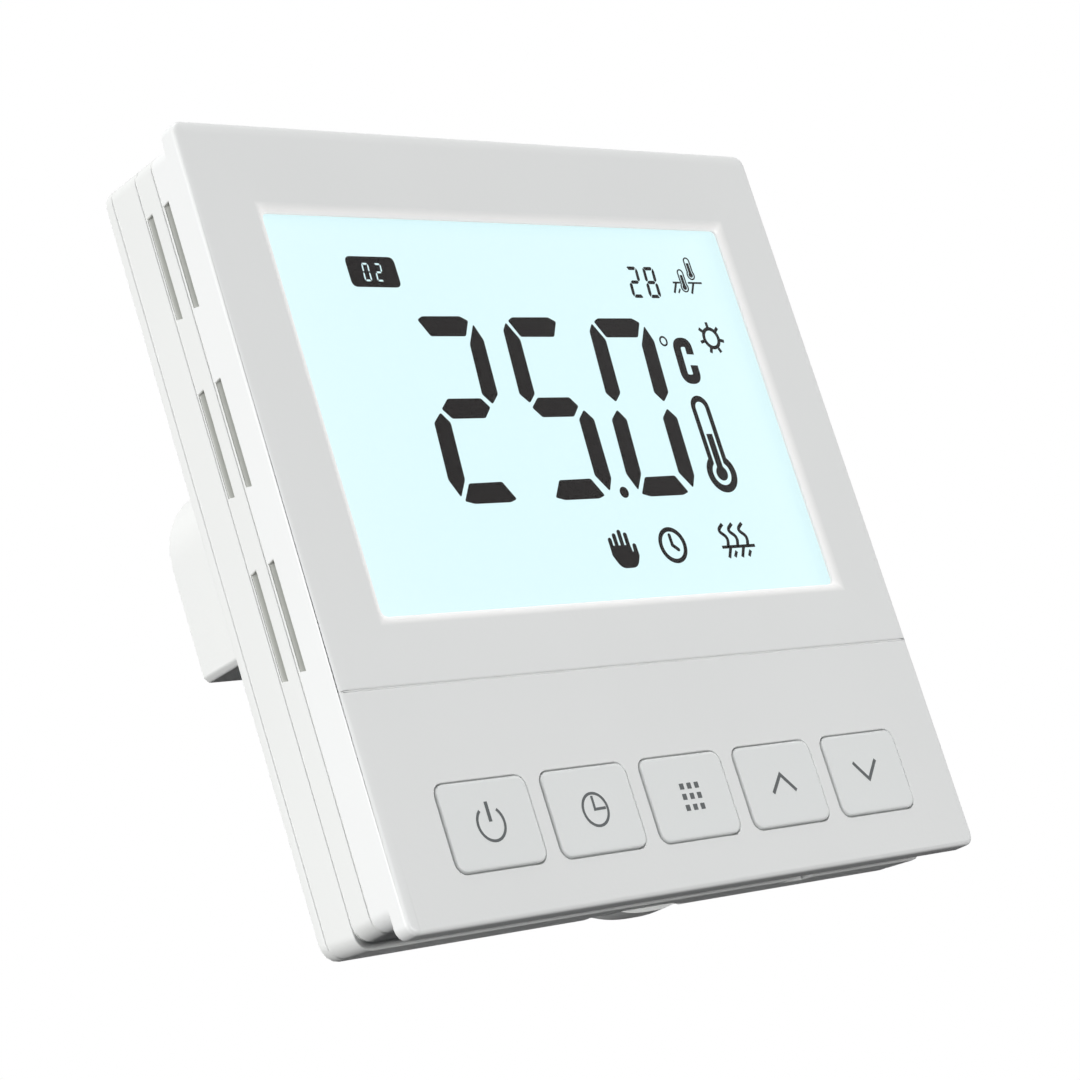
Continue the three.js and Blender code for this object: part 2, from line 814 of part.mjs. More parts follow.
function baseCover() {
  const outer = drafted(slab(baseOutline(), baseCoverFront, baseCoverBack));
  const hollow = slab(
    roundedRectangle(faceWidth - 2 * wall, baseHeight - 2 * wall, innerCorner, 0, baseZ),
    baseInside,
    baseCoverBack + cutPast,
  );
  const midWall = baseCoverFront + baseFront / 2;
  const wells = fixingX.map((x) => post(wellRadius + wellWall, midWall, baseCoverBack, x, 0, 28));
  const recesses = fixingX.map((x) => post(wellRadius, baseCoverFront - cutPast, wellFloor, x, 0, 28));
  const corners = baseScrewPlaces().map(([x, z]) => post(basePostRadius, midWall, baseCoverBack, x, z, 16));
  const pilots = baseScrewPlaces().map(([x, z]) =>
    post(pilotRadius, baseInside, baseCoverBack + cutPast, x, z, 10),
  );
  const boardPosts = boardPostPlaces().map(([x, z]) =>
    post(boardPostRadius, midWall, powerBoardDepth - seatGap, x, z, 12),
  );
  const tongueZ = bodyInside - sideGap - tongueThickness / 2;
  const tongueX = faceWidth / 2 - tongueFromEdge;
  const tongues = [-1, 1].map((side) =>
    blockAt(side * tongueX, tongueZ, tongueWidth, tongueThickness, boardBack + seatGap, midWall),
  );
  const socketWindow = blockAt(
    0,
    plugHeight,
    socketWidth + 2 * socketGap,
    socketHeight + 2 * socketGap,
    baseCoverFront - cutPast,
    baseInside + cutPast,
  );
  const opening = [-tabOpening, tabOpening];
  const cutFront = baseCoverFront - cutPast;
  const tabCutout = joined([
    block(opening, [cutFront, baseCoverBack + cutPast], [baseBottom - cutPast, tabTop]),
    block(opening, [cutFront, baseInside + cutPast], [baseBottom, noseTop + tabTravel + sideGap]),
  ]);
  const pryX = faceWidth / 2 - pryFromEdge;
  const pryNotch = block(
    [pryX - pryWidth / 2, pryX + pryWidth / 2],
    [cutFront, baseCoverFront + pryDepth],
    [baseBottom - cutPast, tabTop - pryFloor],
  );
  return cutFrom(joined([outer.subtract(hollow), ...wells, ...corners, ...boardPosts, ...tongues]), [
    ...recesses,
    ...fixingSlots(),
    ...pilots,
    socketWindow,
    tabCutout,
    pryNotch,
  ]);
}

function baseScrewPlaces() {
  const x = bodyInsideX - baseScrewInset;
  const z = bodyInside - baseScrewInset;
  return [-1, 1].flatMap((side) => [-1, 1].map((end) => [side * x, end * z]));
}

function boardPostPlaces() {
  const x = boxInsideX - boardPostInset;
  const heights = [boxTop - boxTopRadius, terminalTop - boardPostInset];
  return [-1, 1].flatMap((side) => heights.map((z) => [side * x, z]));
}

function fixingSlots() {
  return fixingX.map((x) =>
    slab(
      roundedRectangle(slotWidth, slotLength, slotWidth / 2 - 0.01, x, 0),
      baseCoverFront,
      unitDepth + cutPast,
      3,
    ),
  );
}

function baseHousing() {
  const flange = drafted(slab(baseOutline(), flangeFront, unitDepth));
  const chamber = slab(chamberOutline(0), flangeFront, boxBack, 4);
  const bay = block([-boxWidth / 2, boxWidth / 2], [flangeFront, bayBack], [bayBottom, boxStep + boxWall]);
  const chamberHollow = slab(chamberOutline(boxWall), flangeFront - cutPast, boxBack - boxWall, 4);
  const bayHollow = block(
    [-boxInsideX, boxInsideX],
    [flangeFront - cutPast, bayBack - boxWall],
    [bayBottom + boxWall, boxStep + 2 * boxWall],
  );
  const rails = [-1, 1].map((side) => {
    const near = side * (boxInsideX - railReach);
    const far = side * (boxInsideX + boxWall / 2);
    const front = powerBoardBack + seatGap;
    return block([near, far].sort((a, b) => a - b), [front, front + railDepth], [railBottom, railTop]);
  });
  const terminalOpening = block(
    [-terminalWidth / 2 - 2 * sideGap, terminalWidth / 2 + 2 * sideGap],
    [powerBoardBack - seatGap, bayBack + cutPast],
    [bayBottom - cutPast, terminalTop + 2 * sideGap],
  );
  const screwHoles = baseScrewPlaces().map(([x, z]) =>
    solidFrom(
      turned([
        [0, flangeFront - cutPast],
        [shankRadius + countersink, flangeFront - cutPast],
        [shankRadius + countersink, flangeFront + coneStart - countersink / 2],
        [baseHeadRadius + countersink, unitDepth],
        [baseHeadRadius + countersink, unitDepth + cutPast],
        [0, unitDepth + cutPast],
      ]).translate(x, 0, z),
    ),
  );
  const shell = cutFrom(joined([flange, chamber, bay]), [chamberHollow, bayHollow]);
  return cutFrom(joined([shell, ...rails]), [terminalOpening, ...fixingSlots(), ...screwHoles]);
}

function powerBoard() {
  const outline = chamberOutline(boxWall + 2 * sideGap, bayBottom + boxWall + boardEdgeGap);
  return slab(outline, powerBoardDepth, powerBoardBack, 4);
}

function boardBox({ width, depth, height }) {
  const outline = roundedRectangle(width, height, caseCorner);
  return slab(outline, componentFront, componentFront + depth, 1);
}

// Middles of the two windows in the core that the winding passes through.
const windingX = [-1, 1].map((side) => side * (transformerSize.width / 2 - coreLeg - coreWindow / 2));
const coreFront = componentFront + pinRail;
const coreBack = componentFront + transformerSize.depth;

function transformerCore() {
  const { width, height } = transformerSize;
  const core = blockAt(0, 0, width, height - 2 * bobbinEnd, coreFront, coreBack);
  const windows = windingX.map((x) =>
    blockAt(x, 0, coreWindow, height, coreFront + coreYoke, coreBack - coreYoke),
  );
  return cutFrom(core, windows);
}

// The wound bobbin fills the core's two windows and stands on the board on its pin rail.
function transformerBobbin() {
  const { width, height } = transformerSize;
  const endThickness = bobbinEnd - seatGap;
  const windingBack = coreBack - coreYoke - seatGap;
  const rail = blockAt(0, 0, width, height, componentFront, coreFront - seatGap);
  const legs = windingX.map((x) =>
    blockAt(x, 0, coreWindow - 2 * seatGap, height, coreFront + coreYoke + seatGap, windingBack),
  );
  const endWidth = width - 2 * coreLeg - 2 * seatGap;
  const ends = [-1, 1].map((end) =>
    blockAt(0, (end * (height - endThickness)) / 2, endWidth, endThickness, componentFront, windingBack),
  );
  return joined([rail, ...legs, ...ends]);
}

function filterCapacitor() {
  const back = componentFront + capacitorLength;
  return turned([
    [0, componentFront],
    [capacitorRadius, componentFront],
    [capacitorRadius, componentFront + capacitorCrimp],
    [capacitorRadius - crimpDepth, componentFront + capacitorCrimp + crimpDepth],
    [capacitorRadius, componentFront + capacitorCrimp + 2 * crimpDepth],
    [capacitorRadius, back - crimpDepth],
    [capacitorRadius - crimpDepth, back],
    [0, back],
  ], 24);
}

function varistor() {
  const centre = componentFront + varistorLift + varistorRadius;
  const disc = new THREE.CylinderGeometry(varistorRadius, varistorRadius, varistorThickness, 20);
  disc.rotateX(Math.PI / 2);
  disc.translate(0, centre, 0);
  const legs = [-1, 1].map((side) => post(leadRadius, componentFront, centre, (side * leadPitch) / 2, 0, 6));
  return joined([solidFrom(disc), ...legs]);
}

function baseSocket() {
  const body = blockAt(0, 0, socketWidth, socketHeight, socketFront, powerBoardDepth - seatGap);
  const hole = pinSize + 2 * pinClearance;
  const holes = spread(plugPins, pinPitch).map((x) =>
    blockAt(x, 0, hole, hole, socketFront - cutPast, pinTip + pinEndGap),
  );
  return cutFrom(body, holes);
}

const terminalX = spread(terminalCount, terminalPitch);
const wellZ = (terminalBottom + terminalTop) / 2;
const mouthNear = terminalFront + mouthFront;
const screwWellFront = mouthNear + mouthSize + clampWall;

function terminalBlock() {
  const width = [-terminalWidth / 2, terminalWidth / 2];
  const body = block(width, [terminalFront, terminalBack], [terminalBottom, terminalTop]);
  const chamfer = new THREE.Shape();
  chamfer.moveTo(terminalBack - terminalEdge, terminalBottom);
  chamfer.lineTo(terminalBack, terminalBottom - terminalEdge);
  chamfer.lineTo(terminalBack + terminalEdge, terminalBottom);
  chamfer.lineTo(terminalBack, terminalBottom + terminalEdge);
  chamfer.closePath();
  const length = terminalWidth + 2 * cutPast;
  const slope = new THREE.ExtrudeGeometry(chamfer, { depth: length, bevelEnabled: false });
  slope.applyMatrix4(
    new THREE.Matrix4().makeBasis(
      new THREE.Vector3(0, 1, 0),
      new THREE.Vector3(0, 0, 1),
      new THREE.Vector3(1, 0, 0),
    ),
  );
  slope.translate(-terminalWidth / 2 - cutPast, 0, 0);
  const mouths = terminalX.map((x) =>
    block(
      [x - mouthSize / 2, x + mouthSize / 2],
      [mouthNear, mouthNear + mouthSize],
      [terminalBottom - cutPast, terminalBottom + mouthDepth],
    ),
  );
  const wells = terminalX.map((x) =>
    post(terminalScrewRadius + sideGap, screwWellFront, terminalBack + cutPast, x, wellZ, 16),
  );
  return cutFrom(body, [solidFrom(slope), ...mouths, ...wells]);
}

function terminalScrew() {
  const front = screwWellFront + seatGap;
  const back = front + terminalScrewLength;
  const screw = post(terminalScrewRadius, front, back, 0, 0, 16);
  const slotFloor = back - driverSlotDepth;
  const slot = blockAt(0, 0, 3 * terminalScrewRadius, driverSlotWidth, slotFloor, back + cutPast);
  return screw.subtract(slot);
}

// Countersunk screw from the rear of the flange into the base cover.
function baseScrew() {
  return turned([
    [0, baseInside + seatGap],
    [shankRadius / 2, baseInside + seatGap],
    [shankRadius, baseInside + seatGap + shankRadius],
    [shankRadius, flangeFront + coneStart],
    [baseHeadRadius, unitDepth - sunkHead],
    [0, unitDepth - sunkHead],
  ], 12);
}

// The tab slides up in the base's bottom wall. Its ears keep it in, and its nose reaches the frame's pocket.
function releaseTab() {
  const width = [-tabWidth / 2, tabWidth / 2];
  const noseWidth = [-tabWidth / 2 + noseInset, tabWidth / 2 - noseInset];
  const earBottom = tabTop + seatGap;
  const inside = baseInside + seatGap;
  const earWidth = [-tabWidth / 2 - tabEar, tabWidth / 2 + tabEar];
  const middle = baseBottom + tabThickness / 2;
  const thickness = [baseBottom, baseBottom + tabThickness];
  const body = drafted(block(width, [baseCoverFront + seatGap / 2, tabBack], thickness));
  const ears = block(earWidth, [inside, tabBack], [earBottom, earBottom + earHeight]);
  const neck = block(width, [inside, tabBack], [middle, earBottom + earHeight / 2]);
  const riser = block(noseWidth, [baseCoverFront + seatGap / 2, inside + seatGap], [middle, noseTop]);
  const noseDepth = [noseFront, baseCoverFront + baseFront / 2];
  const nose = block(noseWidth, noseDepth, [-bodyInside + sideGap, noseTop]);
  const radius = (tabWidth ** 2 / 4 + bulgeSag ** 2) / (2 * bulgeSag);
  const half = Math.asin(tabWidth / 2 / radius);
  const segment = new THREE.Shape();
  const lowest = baseBottom + baseDraft - bulgeSag;
  segment.absarc(0, lowest + radius, radius, -Math.PI / 2 - half, -Math.PI / 2 + half);
  segment.lineTo(tabWidth / 2, middle);
  segment.lineTo(-tabWidth / 2, middle);
  segment.closePath();
  const bulge = slab(segment, tabBack - bulgeDepth, tabBack, 6);
  return joined([body, ears, neck, riser, nose, bulge]);
}

// ---------------------------------------------------------------------------------------------------------
// Finishes

const finishes = {
  shell: { color: 0xe9eae9, roughness: 0.42, metalness: 0 },
  frame: { color: 0xe6e7e5, roughness: 0.45, metalness: 0 },
  key: { color: 0xe2e4e3, roughness: 0.4, metalness: 0 },
  lens: { color: 0xdffbff, roughness: 0.05, metalness: 0, transparent: true, opacity: 0.3 },
  glass: { color: 0xdffaff, roughness: 0.15, metalness: 0 },
  guide: { color: 0xf4fbfc, roughness: 0.1, metalness: 0 },
  tray: { color: 0xf2f2f0, roughness: 0.6, metalness: 0 },
  board: { color: 0x1d5a38, roughness: 0.5, metalness: 0 },
  chip: { color: 0x1b1c1e, roughness: 0.55, metalness: 0 },
  rubber: { color: 0xd9d4cc, roughness: 0.8, metalness: 0 },
  steel: { color: 0xb9bcc0, roughness: 0.35, metalness: 1 },
  brass: { color: 0xc9a862, roughness: 0.35, metalness: 1 },
  relay: { color: 0x2b5fa8, roughness: 0.4, metalness: 0 },
  ferrite: { color: 0x3a3a3c, roughness: 0.7, metalness: 0 },
  winding: { color: 0xd8b33a, roughness: 0.5, metalness: 0 },
  film: { color: 0xd9b233, roughness: 0.45, metalness: 0 },
  sleeve: { color: 0x24272d, roughness: 0.4, metalness: 0 },
  disc: { color: 0x2f6f9e, roughness: 0.5, metalness: 0 },
  terminal: { color: 0x3c3f42, roughness: 0.5, metalness: 0 },
  bead: { color: 0x1a1a1a, roughness: 0.5, metalness: 0 },
};

function place(parent, name, shape, finish, x = 0, y = 0, z = 0) {
  const geometry = shape.isBufferGeometry ? shape : geometryFrom(shape);
  const mesh = new THREE.Mesh(geometry, new THREE.MeshStandardMaterial(finishes[finish]));
  mesh.name = name;
  mesh.position.set(x, y, z);
  parent.add(mesh);
}

// ---------------------------------------------------------------------------------------------------------
// Assembly

const thermostat = new THREE.Group();
const panel = new THREE.Group();
const base = new THREE.Group();
panel.position.y = -unitDepth;
base.position.y = -unitDepth;
thermostat.add(panel, base);

place(panel, 'front_cover', frontCover(), 'shell');
place(panel, 'display_window', displayWindow(), 'lens');
place(panel, 'display_glass', displayGlass(), 'glass');
place(panel, 'light_guide', lightGuide(), 'guide');
place(panel, 'display_tray', displayTray(), 'tray');
place(panel, 'backlight_left', backlightLamp(-1), 'tray');
place(panel, 'backlight_right', backlightLamp(1), 'tray');
place(panel, 'contact_strip', contactStrip(), 'rubber');
place(panel, 'display_board', displayBoard(), 'board');
place(panel, 'middle_frame', middleFrame(), 'frame');
const chipX = faceWidth / 2 - chipFromEdge;
const chipZ = faceHeight / 2 - chipBelowTop;
place(panel, 'controller_chip', controllerChip(), 'chip', chipX, 0, chipZ);
const cellX = faceWidth / 2 - cellFromEdge;
const cellZ = (trayBottom + keyZ + keyHeight / 2 + keyFlange) / 2;
place(panel, 'cell_holder', cellHolder(), 'chip', cellX, 0, cellZ);
place(panel, 'coin_cell', coinCell(), 'steel', cellX, 0, cellZ);
const sensorX = -(trayWidth / 2 + bodyInsideX) / 2;
const sensorZ = ventTop - (ventCount - 1) * ventPitch;
place(panel, 'air_sensor', airSensor(), 'bead', sensorX, 0, sensorZ);
place(panel, 'panel_plug', panelPlug(), 'chip', 0, 0, plugHeight);

bossPlaces.forEach(([x, z], i) => {
  place(panel, `panel_screw_${i + 1}`, panelScrew(), 'steel', x, earBack - headRecess + seatGap / 2, z);
});

const keyNames = ['power', 'clock', 'menu', 'up', 'down'];
const cap = keyCap();
const switchBody = tactSwitch();
const switchPlunger = plunger();
keyNames.forEach((name, i) => {
  place(panel, `key_${name}`, cap, 'key', keyX[i], 0, keyZ);
  place(panel, `switch_${name}`, switchBody, 'chip', keyX[i], 0, keyZ);
  place(panel, `plunger_${name}`, switchPlunger, 'tray', keyX[i], 0, keyZ);
});

place(base, 'base_cover', baseCover(), 'frame');
place(base, 'base_housing', baseHousing(), 'shell');
place(base, 'power_board', powerBoard(), 'board');
place(base, 'base_socket', baseSocket(), 'chip', 0, 0, plugHeight);

const chamberBottom = boxStep + boxWall + boardEdgeGap;
const relayX = -boxInsideX + componentGap + relaySize.width / 2;
const capacitorX = relayX + relaySize.width / 2 + componentGap + capacitorRadius;
const transformerX = capacitorX + capacitorRadius + componentGap + transformerSize.width / 2;
const relayZ = chamberBottom + relaySize.height / 2;
const filmZ = chamberBottom + filmSize.height / 2;
const capacitorZ = filmZ + filmSize.height / 2 + componentGap / 2 + capacitorRadius;
const transformerZ = chamberBottom + transformerSize.height / 2;
place(base, 'relay', boardBox(relaySize), 'relay', relayX, 0, relayZ);
place(base, 'film_capacitor', boardBox(filmSize), 'film', capacitorX, 0, filmZ);
place(base, 'filter_capacitor', filterCapacitor(), 'sleeve', capacitorX, 0, capacitorZ);
place(base, 'transformer_core', transformerCore(), 'ferrite', transformerX, 0, transformerZ);
place(base, 'transformer_bobbin', transformerBobbin(), 'winding', transformerX, 0, transformerZ);
const varistorX = boxInsideX - varistorFromWall;
const varistorZ = (terminalTop + boxStep + boxWall) / 2;
place(base, 'varistor', varistor(), 'disc', varistorX, 0, varistorZ);
place(base, 'terminal_block', terminalBlock(), 'terminal');
const clampScrew = terminalScrew();
terminalX.forEach((x, i) => {
  place(base, `terminal_screw_${i + 1}`, clampScrew, 'steel', x, 0, wellZ);
});
const flangeScrew = baseScrew();
baseScrewPlaces().forEach(([x, z], i) => {
  place(base, `base_screw_${i + 1}`, flangeScrew, 'steel', x, 0, z);
});
place(base, 'release_tab', releaseTab(), 'frame');

export default thermostat;
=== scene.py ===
"""Wall thermostat: soft-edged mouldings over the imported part, the picture in the display, the marks on
the keys, the finishes of every piece, and a plain studio."""

import json
import math

import bmesh
import bpy
from mathutils import Matrix, Vector

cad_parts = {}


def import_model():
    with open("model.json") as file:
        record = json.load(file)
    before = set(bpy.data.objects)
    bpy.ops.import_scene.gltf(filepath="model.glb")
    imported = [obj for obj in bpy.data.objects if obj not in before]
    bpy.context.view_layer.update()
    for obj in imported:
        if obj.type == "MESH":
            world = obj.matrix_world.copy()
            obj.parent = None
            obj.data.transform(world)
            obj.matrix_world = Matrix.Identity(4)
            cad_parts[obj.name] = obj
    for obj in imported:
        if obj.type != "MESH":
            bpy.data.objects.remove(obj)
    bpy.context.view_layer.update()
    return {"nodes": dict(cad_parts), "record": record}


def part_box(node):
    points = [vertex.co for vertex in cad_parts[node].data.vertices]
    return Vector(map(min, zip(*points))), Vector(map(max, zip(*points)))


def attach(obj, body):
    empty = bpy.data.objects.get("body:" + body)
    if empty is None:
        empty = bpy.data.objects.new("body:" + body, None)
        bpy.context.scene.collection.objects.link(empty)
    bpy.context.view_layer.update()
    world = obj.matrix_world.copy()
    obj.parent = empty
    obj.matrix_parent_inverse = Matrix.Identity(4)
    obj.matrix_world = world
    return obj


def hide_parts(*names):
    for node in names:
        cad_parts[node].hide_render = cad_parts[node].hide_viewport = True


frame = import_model()

MM = 0.001  # the sizes below are in millimetres
KEYS = ("power", "clock", "menu", "up", "down")
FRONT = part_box("front_cover")[0].y


# ---------------------------------------------------------------------------------------------------------
# Shader values and finishes


class Value:
    """A value that varies over a surface, so that sums on it read as plain Python."""

    def __init__(self, finish, socket):
        self.finish = finish
        self.socket = socket

    def _sum(self, operation, *terms):
        sockets = dict(enumerate(terms))
        return self.finish.node("ShaderNodeMath", {"operation": operation}, sockets)

    def __add__(self, other):
        return self._sum("ADD", self, other)

    __radd__ = __add__

    def __sub__(self, other):
        return self._sum("SUBTRACT", self, other)

    def __rsub__(self, other):
        return self._sum("SUBTRACT", other, self)

    def __mul__(self, other):
        return self._sum("MULTIPLY", self, other)

    __rmul__ = __mul__

    def __truediv__(self, other):
        return self._sum("DIVIDE", self, other)

    def __pow__(self, other):
        return self._sum("POWER", self, other)

    def __gt__(self, other):
        return self._sum("GREATER_THAN", self, other)

    def __lt__(self, other):
        return self._sum("LESS_THAN", self, other)

    def __abs__(self):
        return self._sum("ABSOLUTE", self)

    def wrapped(self, size):
        return self._sum("WRAP", self, size, 0)

    def lesser(self, other):
        return self._sum("MINIMUM", self, other)

    def greater(self, other):
        return self._sum("MAXIMUM", self, other)


class Finish:
    """One material, built from nodes."""

    def __init__(self, name):
        self.material = bpy.data.materials.new(name)
        self.material.use_nodes = True
        self.tree = self.material.node_tree
        self.tree.nodes.clear()

    def node(self, kind, settings=None, sockets=None, out=0):
        """Adds a node: its settings first, then a value or a link for each socket named."""
        made = self.tree.nodes.new(kind)
        for key, setting in (settings or {}).items():
            if key == "stops":
                ramp = made.color_ramp
                while len(ramp.elements) < len(setting):
                    ramp.elements.new(0.5)
                for element, (position, colour) in zip(ramp.elements, setting):
                    element.position = position
                    element.color = colour
            else:
                setattr(made, key, setting)
        for key, given in (sockets or {}).items():
            if isinstance(given, Value):
                self.tree.links.new(given.socket, made.inputs[key])
            else:
                made.inputs[key].default_value = given
        return Value(self, made.outputs[out]) if made.outputs else None

    def place(self):
        return self.node("ShaderNodeTexCoord", out="Object")

    def noise(self, scale, detail=2.0, roughness=0.5, place=None):
        sockets = {"Vector": place or self.place(), "Scale": scale, "Detail": detail, "Roughness": roughness}
        return self.node("ShaderNodeTexNoise", None, sockets, "Fac")

    def blend(self, share, first, second):
        """The first colour where share is 0, the second where it is 1."""
        return self.node("ShaderNodeMix", {"data_type": "RGBA"}, {0: share, 6: first, 7: second}, 2)

    def bump(self, height, distance, strength=1.0):
        sockets = {"Height": height, "Distance": distance * MM, "Strength": strength}
        return self.node("ShaderNodeBump", None, sockets)

    def surface(self, **sockets):
        """The shader that glTF knows, with its sockets named in snake case."""
        named = {key.replace("_", " ").title().replace("Ior", "IOR"): given for key, given in sockets.items()}
        return self.node("ShaderNodeBsdfPrincipled", None, named)

    def done(self, shader):
        self.node("ShaderNodeOutputMaterial", None, {"Surface": shader})
        return self.material


def srgb(red, green, blue, alpha=1.0):
    """A colour written as it shows on a screen, 0 to 255."""

    def linear(level):
        level /= 255
        return level / 12.92 if level <= 0.04045 else ((level + 0.055) / 1.055) ** 2.4

    return (linear(red), linear(green), linear(blue), alpha)


def shaded(colour, factor):
    return tuple(min(1.0, level * factor) for level in colour[:3]) + (1.0,)


def moulded(name, colour, roughness=0.42, grain=0.012, grain_size=0.45, mottle=0.02, **constants):
    """Moulded plastic: fine spark-eroded grain, and a faint cloudiness in shade and gloss."""
    finish = Finish(name)
    place = finish.place()
    grains = finish.noise(1 / (grain_size * MM), 3.0, 0.6, place)
    clouds = finish.noise(45.0, 2.0, 0.5, place)
    return finish.done(finish.surface(
        base_color=finish.blend(clouds, shaded(colour, 1 - mottle), shaded(colour, 1 + mottle)),
        roughness=roughness - 0.06 + 0.08 * grains + 0.04 * clouds,
        normal=finish.bump(grains, grain),
        **constants,
    ))


VENT_SHADE_DARK, VENT_SHADE_LIGHT = srgb(160, 162, 154), srgb(228, 229, 224)  # painted shade on the vent floors, at their deep and outer edges
VENT_SKIN, VENT_FLOOR_END, VENT_ROW_HALF = 0.03, 1.45, 37  # from the side inwards, and half the row's height
VENT_RISE_START, VENT_RISE = 0.08, 0.55  # over which the painted shade on a floor darkens, from the side inwards
VENT_MOUTH, VENT_SEAM = 0.96, 0.02  # the floors' front and rear, ahead of their shell's rear edge
COVER_DEPTH = 4.8
WINDOW_UP, WINDOW_HALF = 11.05, (34.2, 22.05)
# a painted glow on the window's rim: its width, its reach from the front, and its strength
RIM_WIDTH, RIM_REACH, RIM_PAINTED_GLOW = 1.1, 1.0, 0.26


def vented_shell(name, colour, roughness=0.42, grain=0.012, grain_size=0.45, mottle=0.02):
    """The shells' plastic, with painted shade on the sloping floors of the side vents, darker towards their
    deep edge.

    A painted glow on the sloping rim round the window stands in for the display's light falling on it.
    """
    finish = Finish(name)
    place = finish.place()
    grains = finish.noise(1 / (grain_size * MM), 3.0, 0.6, place)
    clouds = finish.noise(45.0, 2.0, 0.5, place)
    across, depth, up = separate(finish, place)
    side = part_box("front_cover")[1].x - abs(across)
    # painted shade in the side vents: the floors darken towards their deep edge, where the shade falls
    sloping = (side > VENT_SKIN * MM) * (side < VENT_FLOOR_END * MM) * (abs(up) < VENT_ROW_HALF * MM)
    floors = 0.0
    for rear in (FRONT + COVER_DEPTH * MM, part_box("middle_frame")[1].y):
        floors = floors + (depth > rear - VENT_MOUTH * MM) * (depth < rear - VENT_SEAM * MM)
    height = (1 - (side - VENT_RISE_START * MM) / (VENT_RISE * MM)).lesser(1.0).greater(0.0)
    plastic = finish.blend(clouds, shaded(colour, 1 - mottle), shaded(colour, 1 + mottle))
    painted_floor_shade = finish.blend(height, VENT_SHADE_DARK, VENT_SHADE_LIGHT)
    # painted glow: the plastic round the window emits a little, standing in for the display's light on the
    # rim
    beyond = (abs(across) - WINDOW_HALF[0] * MM).greater(abs(up - WINDOW_UP * MM) - WINDOW_HALF[1] * MM)
    near_glass = (1 - beyond / (RIM_WIDTH * MM)).greater(0.0).lesser(1.0)
    painted_rim_glow = near_glass * (depth < FRONT + RIM_REACH * MM)
    return finish.done(finish.surface(
        base_color=finish.blend(sloping * floors, plastic, painted_floor_shade),
        emission_color=finish.blend(painted_rim_glow, (0.0, 0.0, 0.0, 1.0), srgb(255, 247, 245)),
        emission_strength=RIM_PAINTED_GLOW,
        roughness=roughness - 0.06 + 0.08 * grains + 0.04 * clouds,
        normal=finish.bump(grains, grain),
    ))


def plated(name, colour, roughness=0.3, streak=0.02):
    """Plated or rolled metal: fine drawn lines and a dull bloom."""
    finish = Finish(name)
    place = finish.place()
    drawn = finish.node("ShaderNodeMapping", None, {"Vector": place, "Scale": (1, 1, 14)})
    lines = finish.noise(900.0, 3.0, 0.6, drawn)
    bloom = finish.noise(700.0, 2.0, 0.5, place)
    return finish.done(finish.surface(
        base_color=finish.blend(bloom, shaded(colour, 0.86), shaded(colour, 1.06)),
        metallic=1.0,
        roughness=roughness + 0.12 * lines + 0.1 * bloom,
        normal=finish.bump(lines, streak),
    ))


def circuit_board():
    """Green solder mask over copper runs, with the weave of the glass cloth showing faintly."""
    finish = Finish("solder_mask")
    across, _, up = separate(finish, finish.place())
    pitch = 1.6 * MM
    lane = finish.noise(260.0, 1.0, 0.4)
    runs = abs((across + 0.9 * MM * lane).wrapped(pitch) / pitch - 0.5) > 0.28
    breaks = finish.noise(140.0, 0.0) > 0.47
    copper = runs * breaks
    weave = abs((across.wrapped(0.5 * MM) + up.wrapped(0.5 * MM)) / (0.5 * MM) - 1)
    mask = finish.blend(copper, srgb(18, 84, 52), srgb(40, 124, 76))
    return finish.done(finish.surface(
        base_color=finish.blend(0.12 * weave, mask, srgb(60, 130, 90)),
        roughness=0.32 + 0.12 * weave,
        normal=finish.bump(copper, 0.03),
        coat_weight=0.3,
    ))


def separate(finish, vector):
    """The three parts of a vector."""
    first = finish.node("ShaderNodeSeparateXYZ", None, {0: vector})
    outputs = first.socket.node.outputs
    return [Value(finish, output) for output in outputs]


def wound_tape():
    """Yellow tape round a winding: overlapping turns with a bright edge."""
    finish = Finish("winding_tape")
    _, depth, _ = separate(finish, finish.place())
    turn = 2.4 * MM
    lap = depth.wrapped(turn) / turn
    return finish.done(finish.surface(
        base_color=finish.blend(lap ** 6, srgb(214, 178, 62), srgb(238, 210, 116)),
        roughness=0.3 + 0.1 * finish.noise(500.0),
        normal=finish.bump(lap, 0.05),
    ))


def window_pane(name):
    """A thin clear pane: bare from the front, and glossier towards a glancing view."""
    finish = Finish(name)
    facing = finish.node("ShaderNodeLayerWeight", None, {"Blend": 0.5}, "Facing")
    open_ = finish.node("ShaderNodeBsdfTransparent", None, {"Color": (0.99, 1.0, 1.0, 1.0)})
    gloss = finish.node("ShaderNodeBsdfGlossy", None, {
        "Color": (1.0, 1.0, 1.0, 1.0), "Roughness": 0.03 + 0.03 * finish.noise(60.0, 2.0),
    })
    sheen = 0.006 + 0.3 * facing ** 4
    return finish.done(finish.node("ShaderNodeMixShader", None, {0: sheen, 1: open_, 2: gloss}))


def see_through(name, tint, roughness):
    """Clear polished plastic, which lets the lamps reach what is behind it."""
    finish = Finish(name)
    smears = finish.noise(60.0, 2.0)
    clear = finish.surface(
        base_color=tint,
        roughness=roughness + 0.02 * smears,
        ior=1.49,
        transmission_weight=1.0,
    )
    lamp_ray = finish.node("ShaderNodeLightPath", out="Is Shadow Ray")
    open_ = finish.node("ShaderNodeBsdfTransparent", None, {"Color": tint})
    return finish.done(finish.node("ShaderNodeMixShader", None, {0: lamp_ray, 1: clear, 2: open_}))


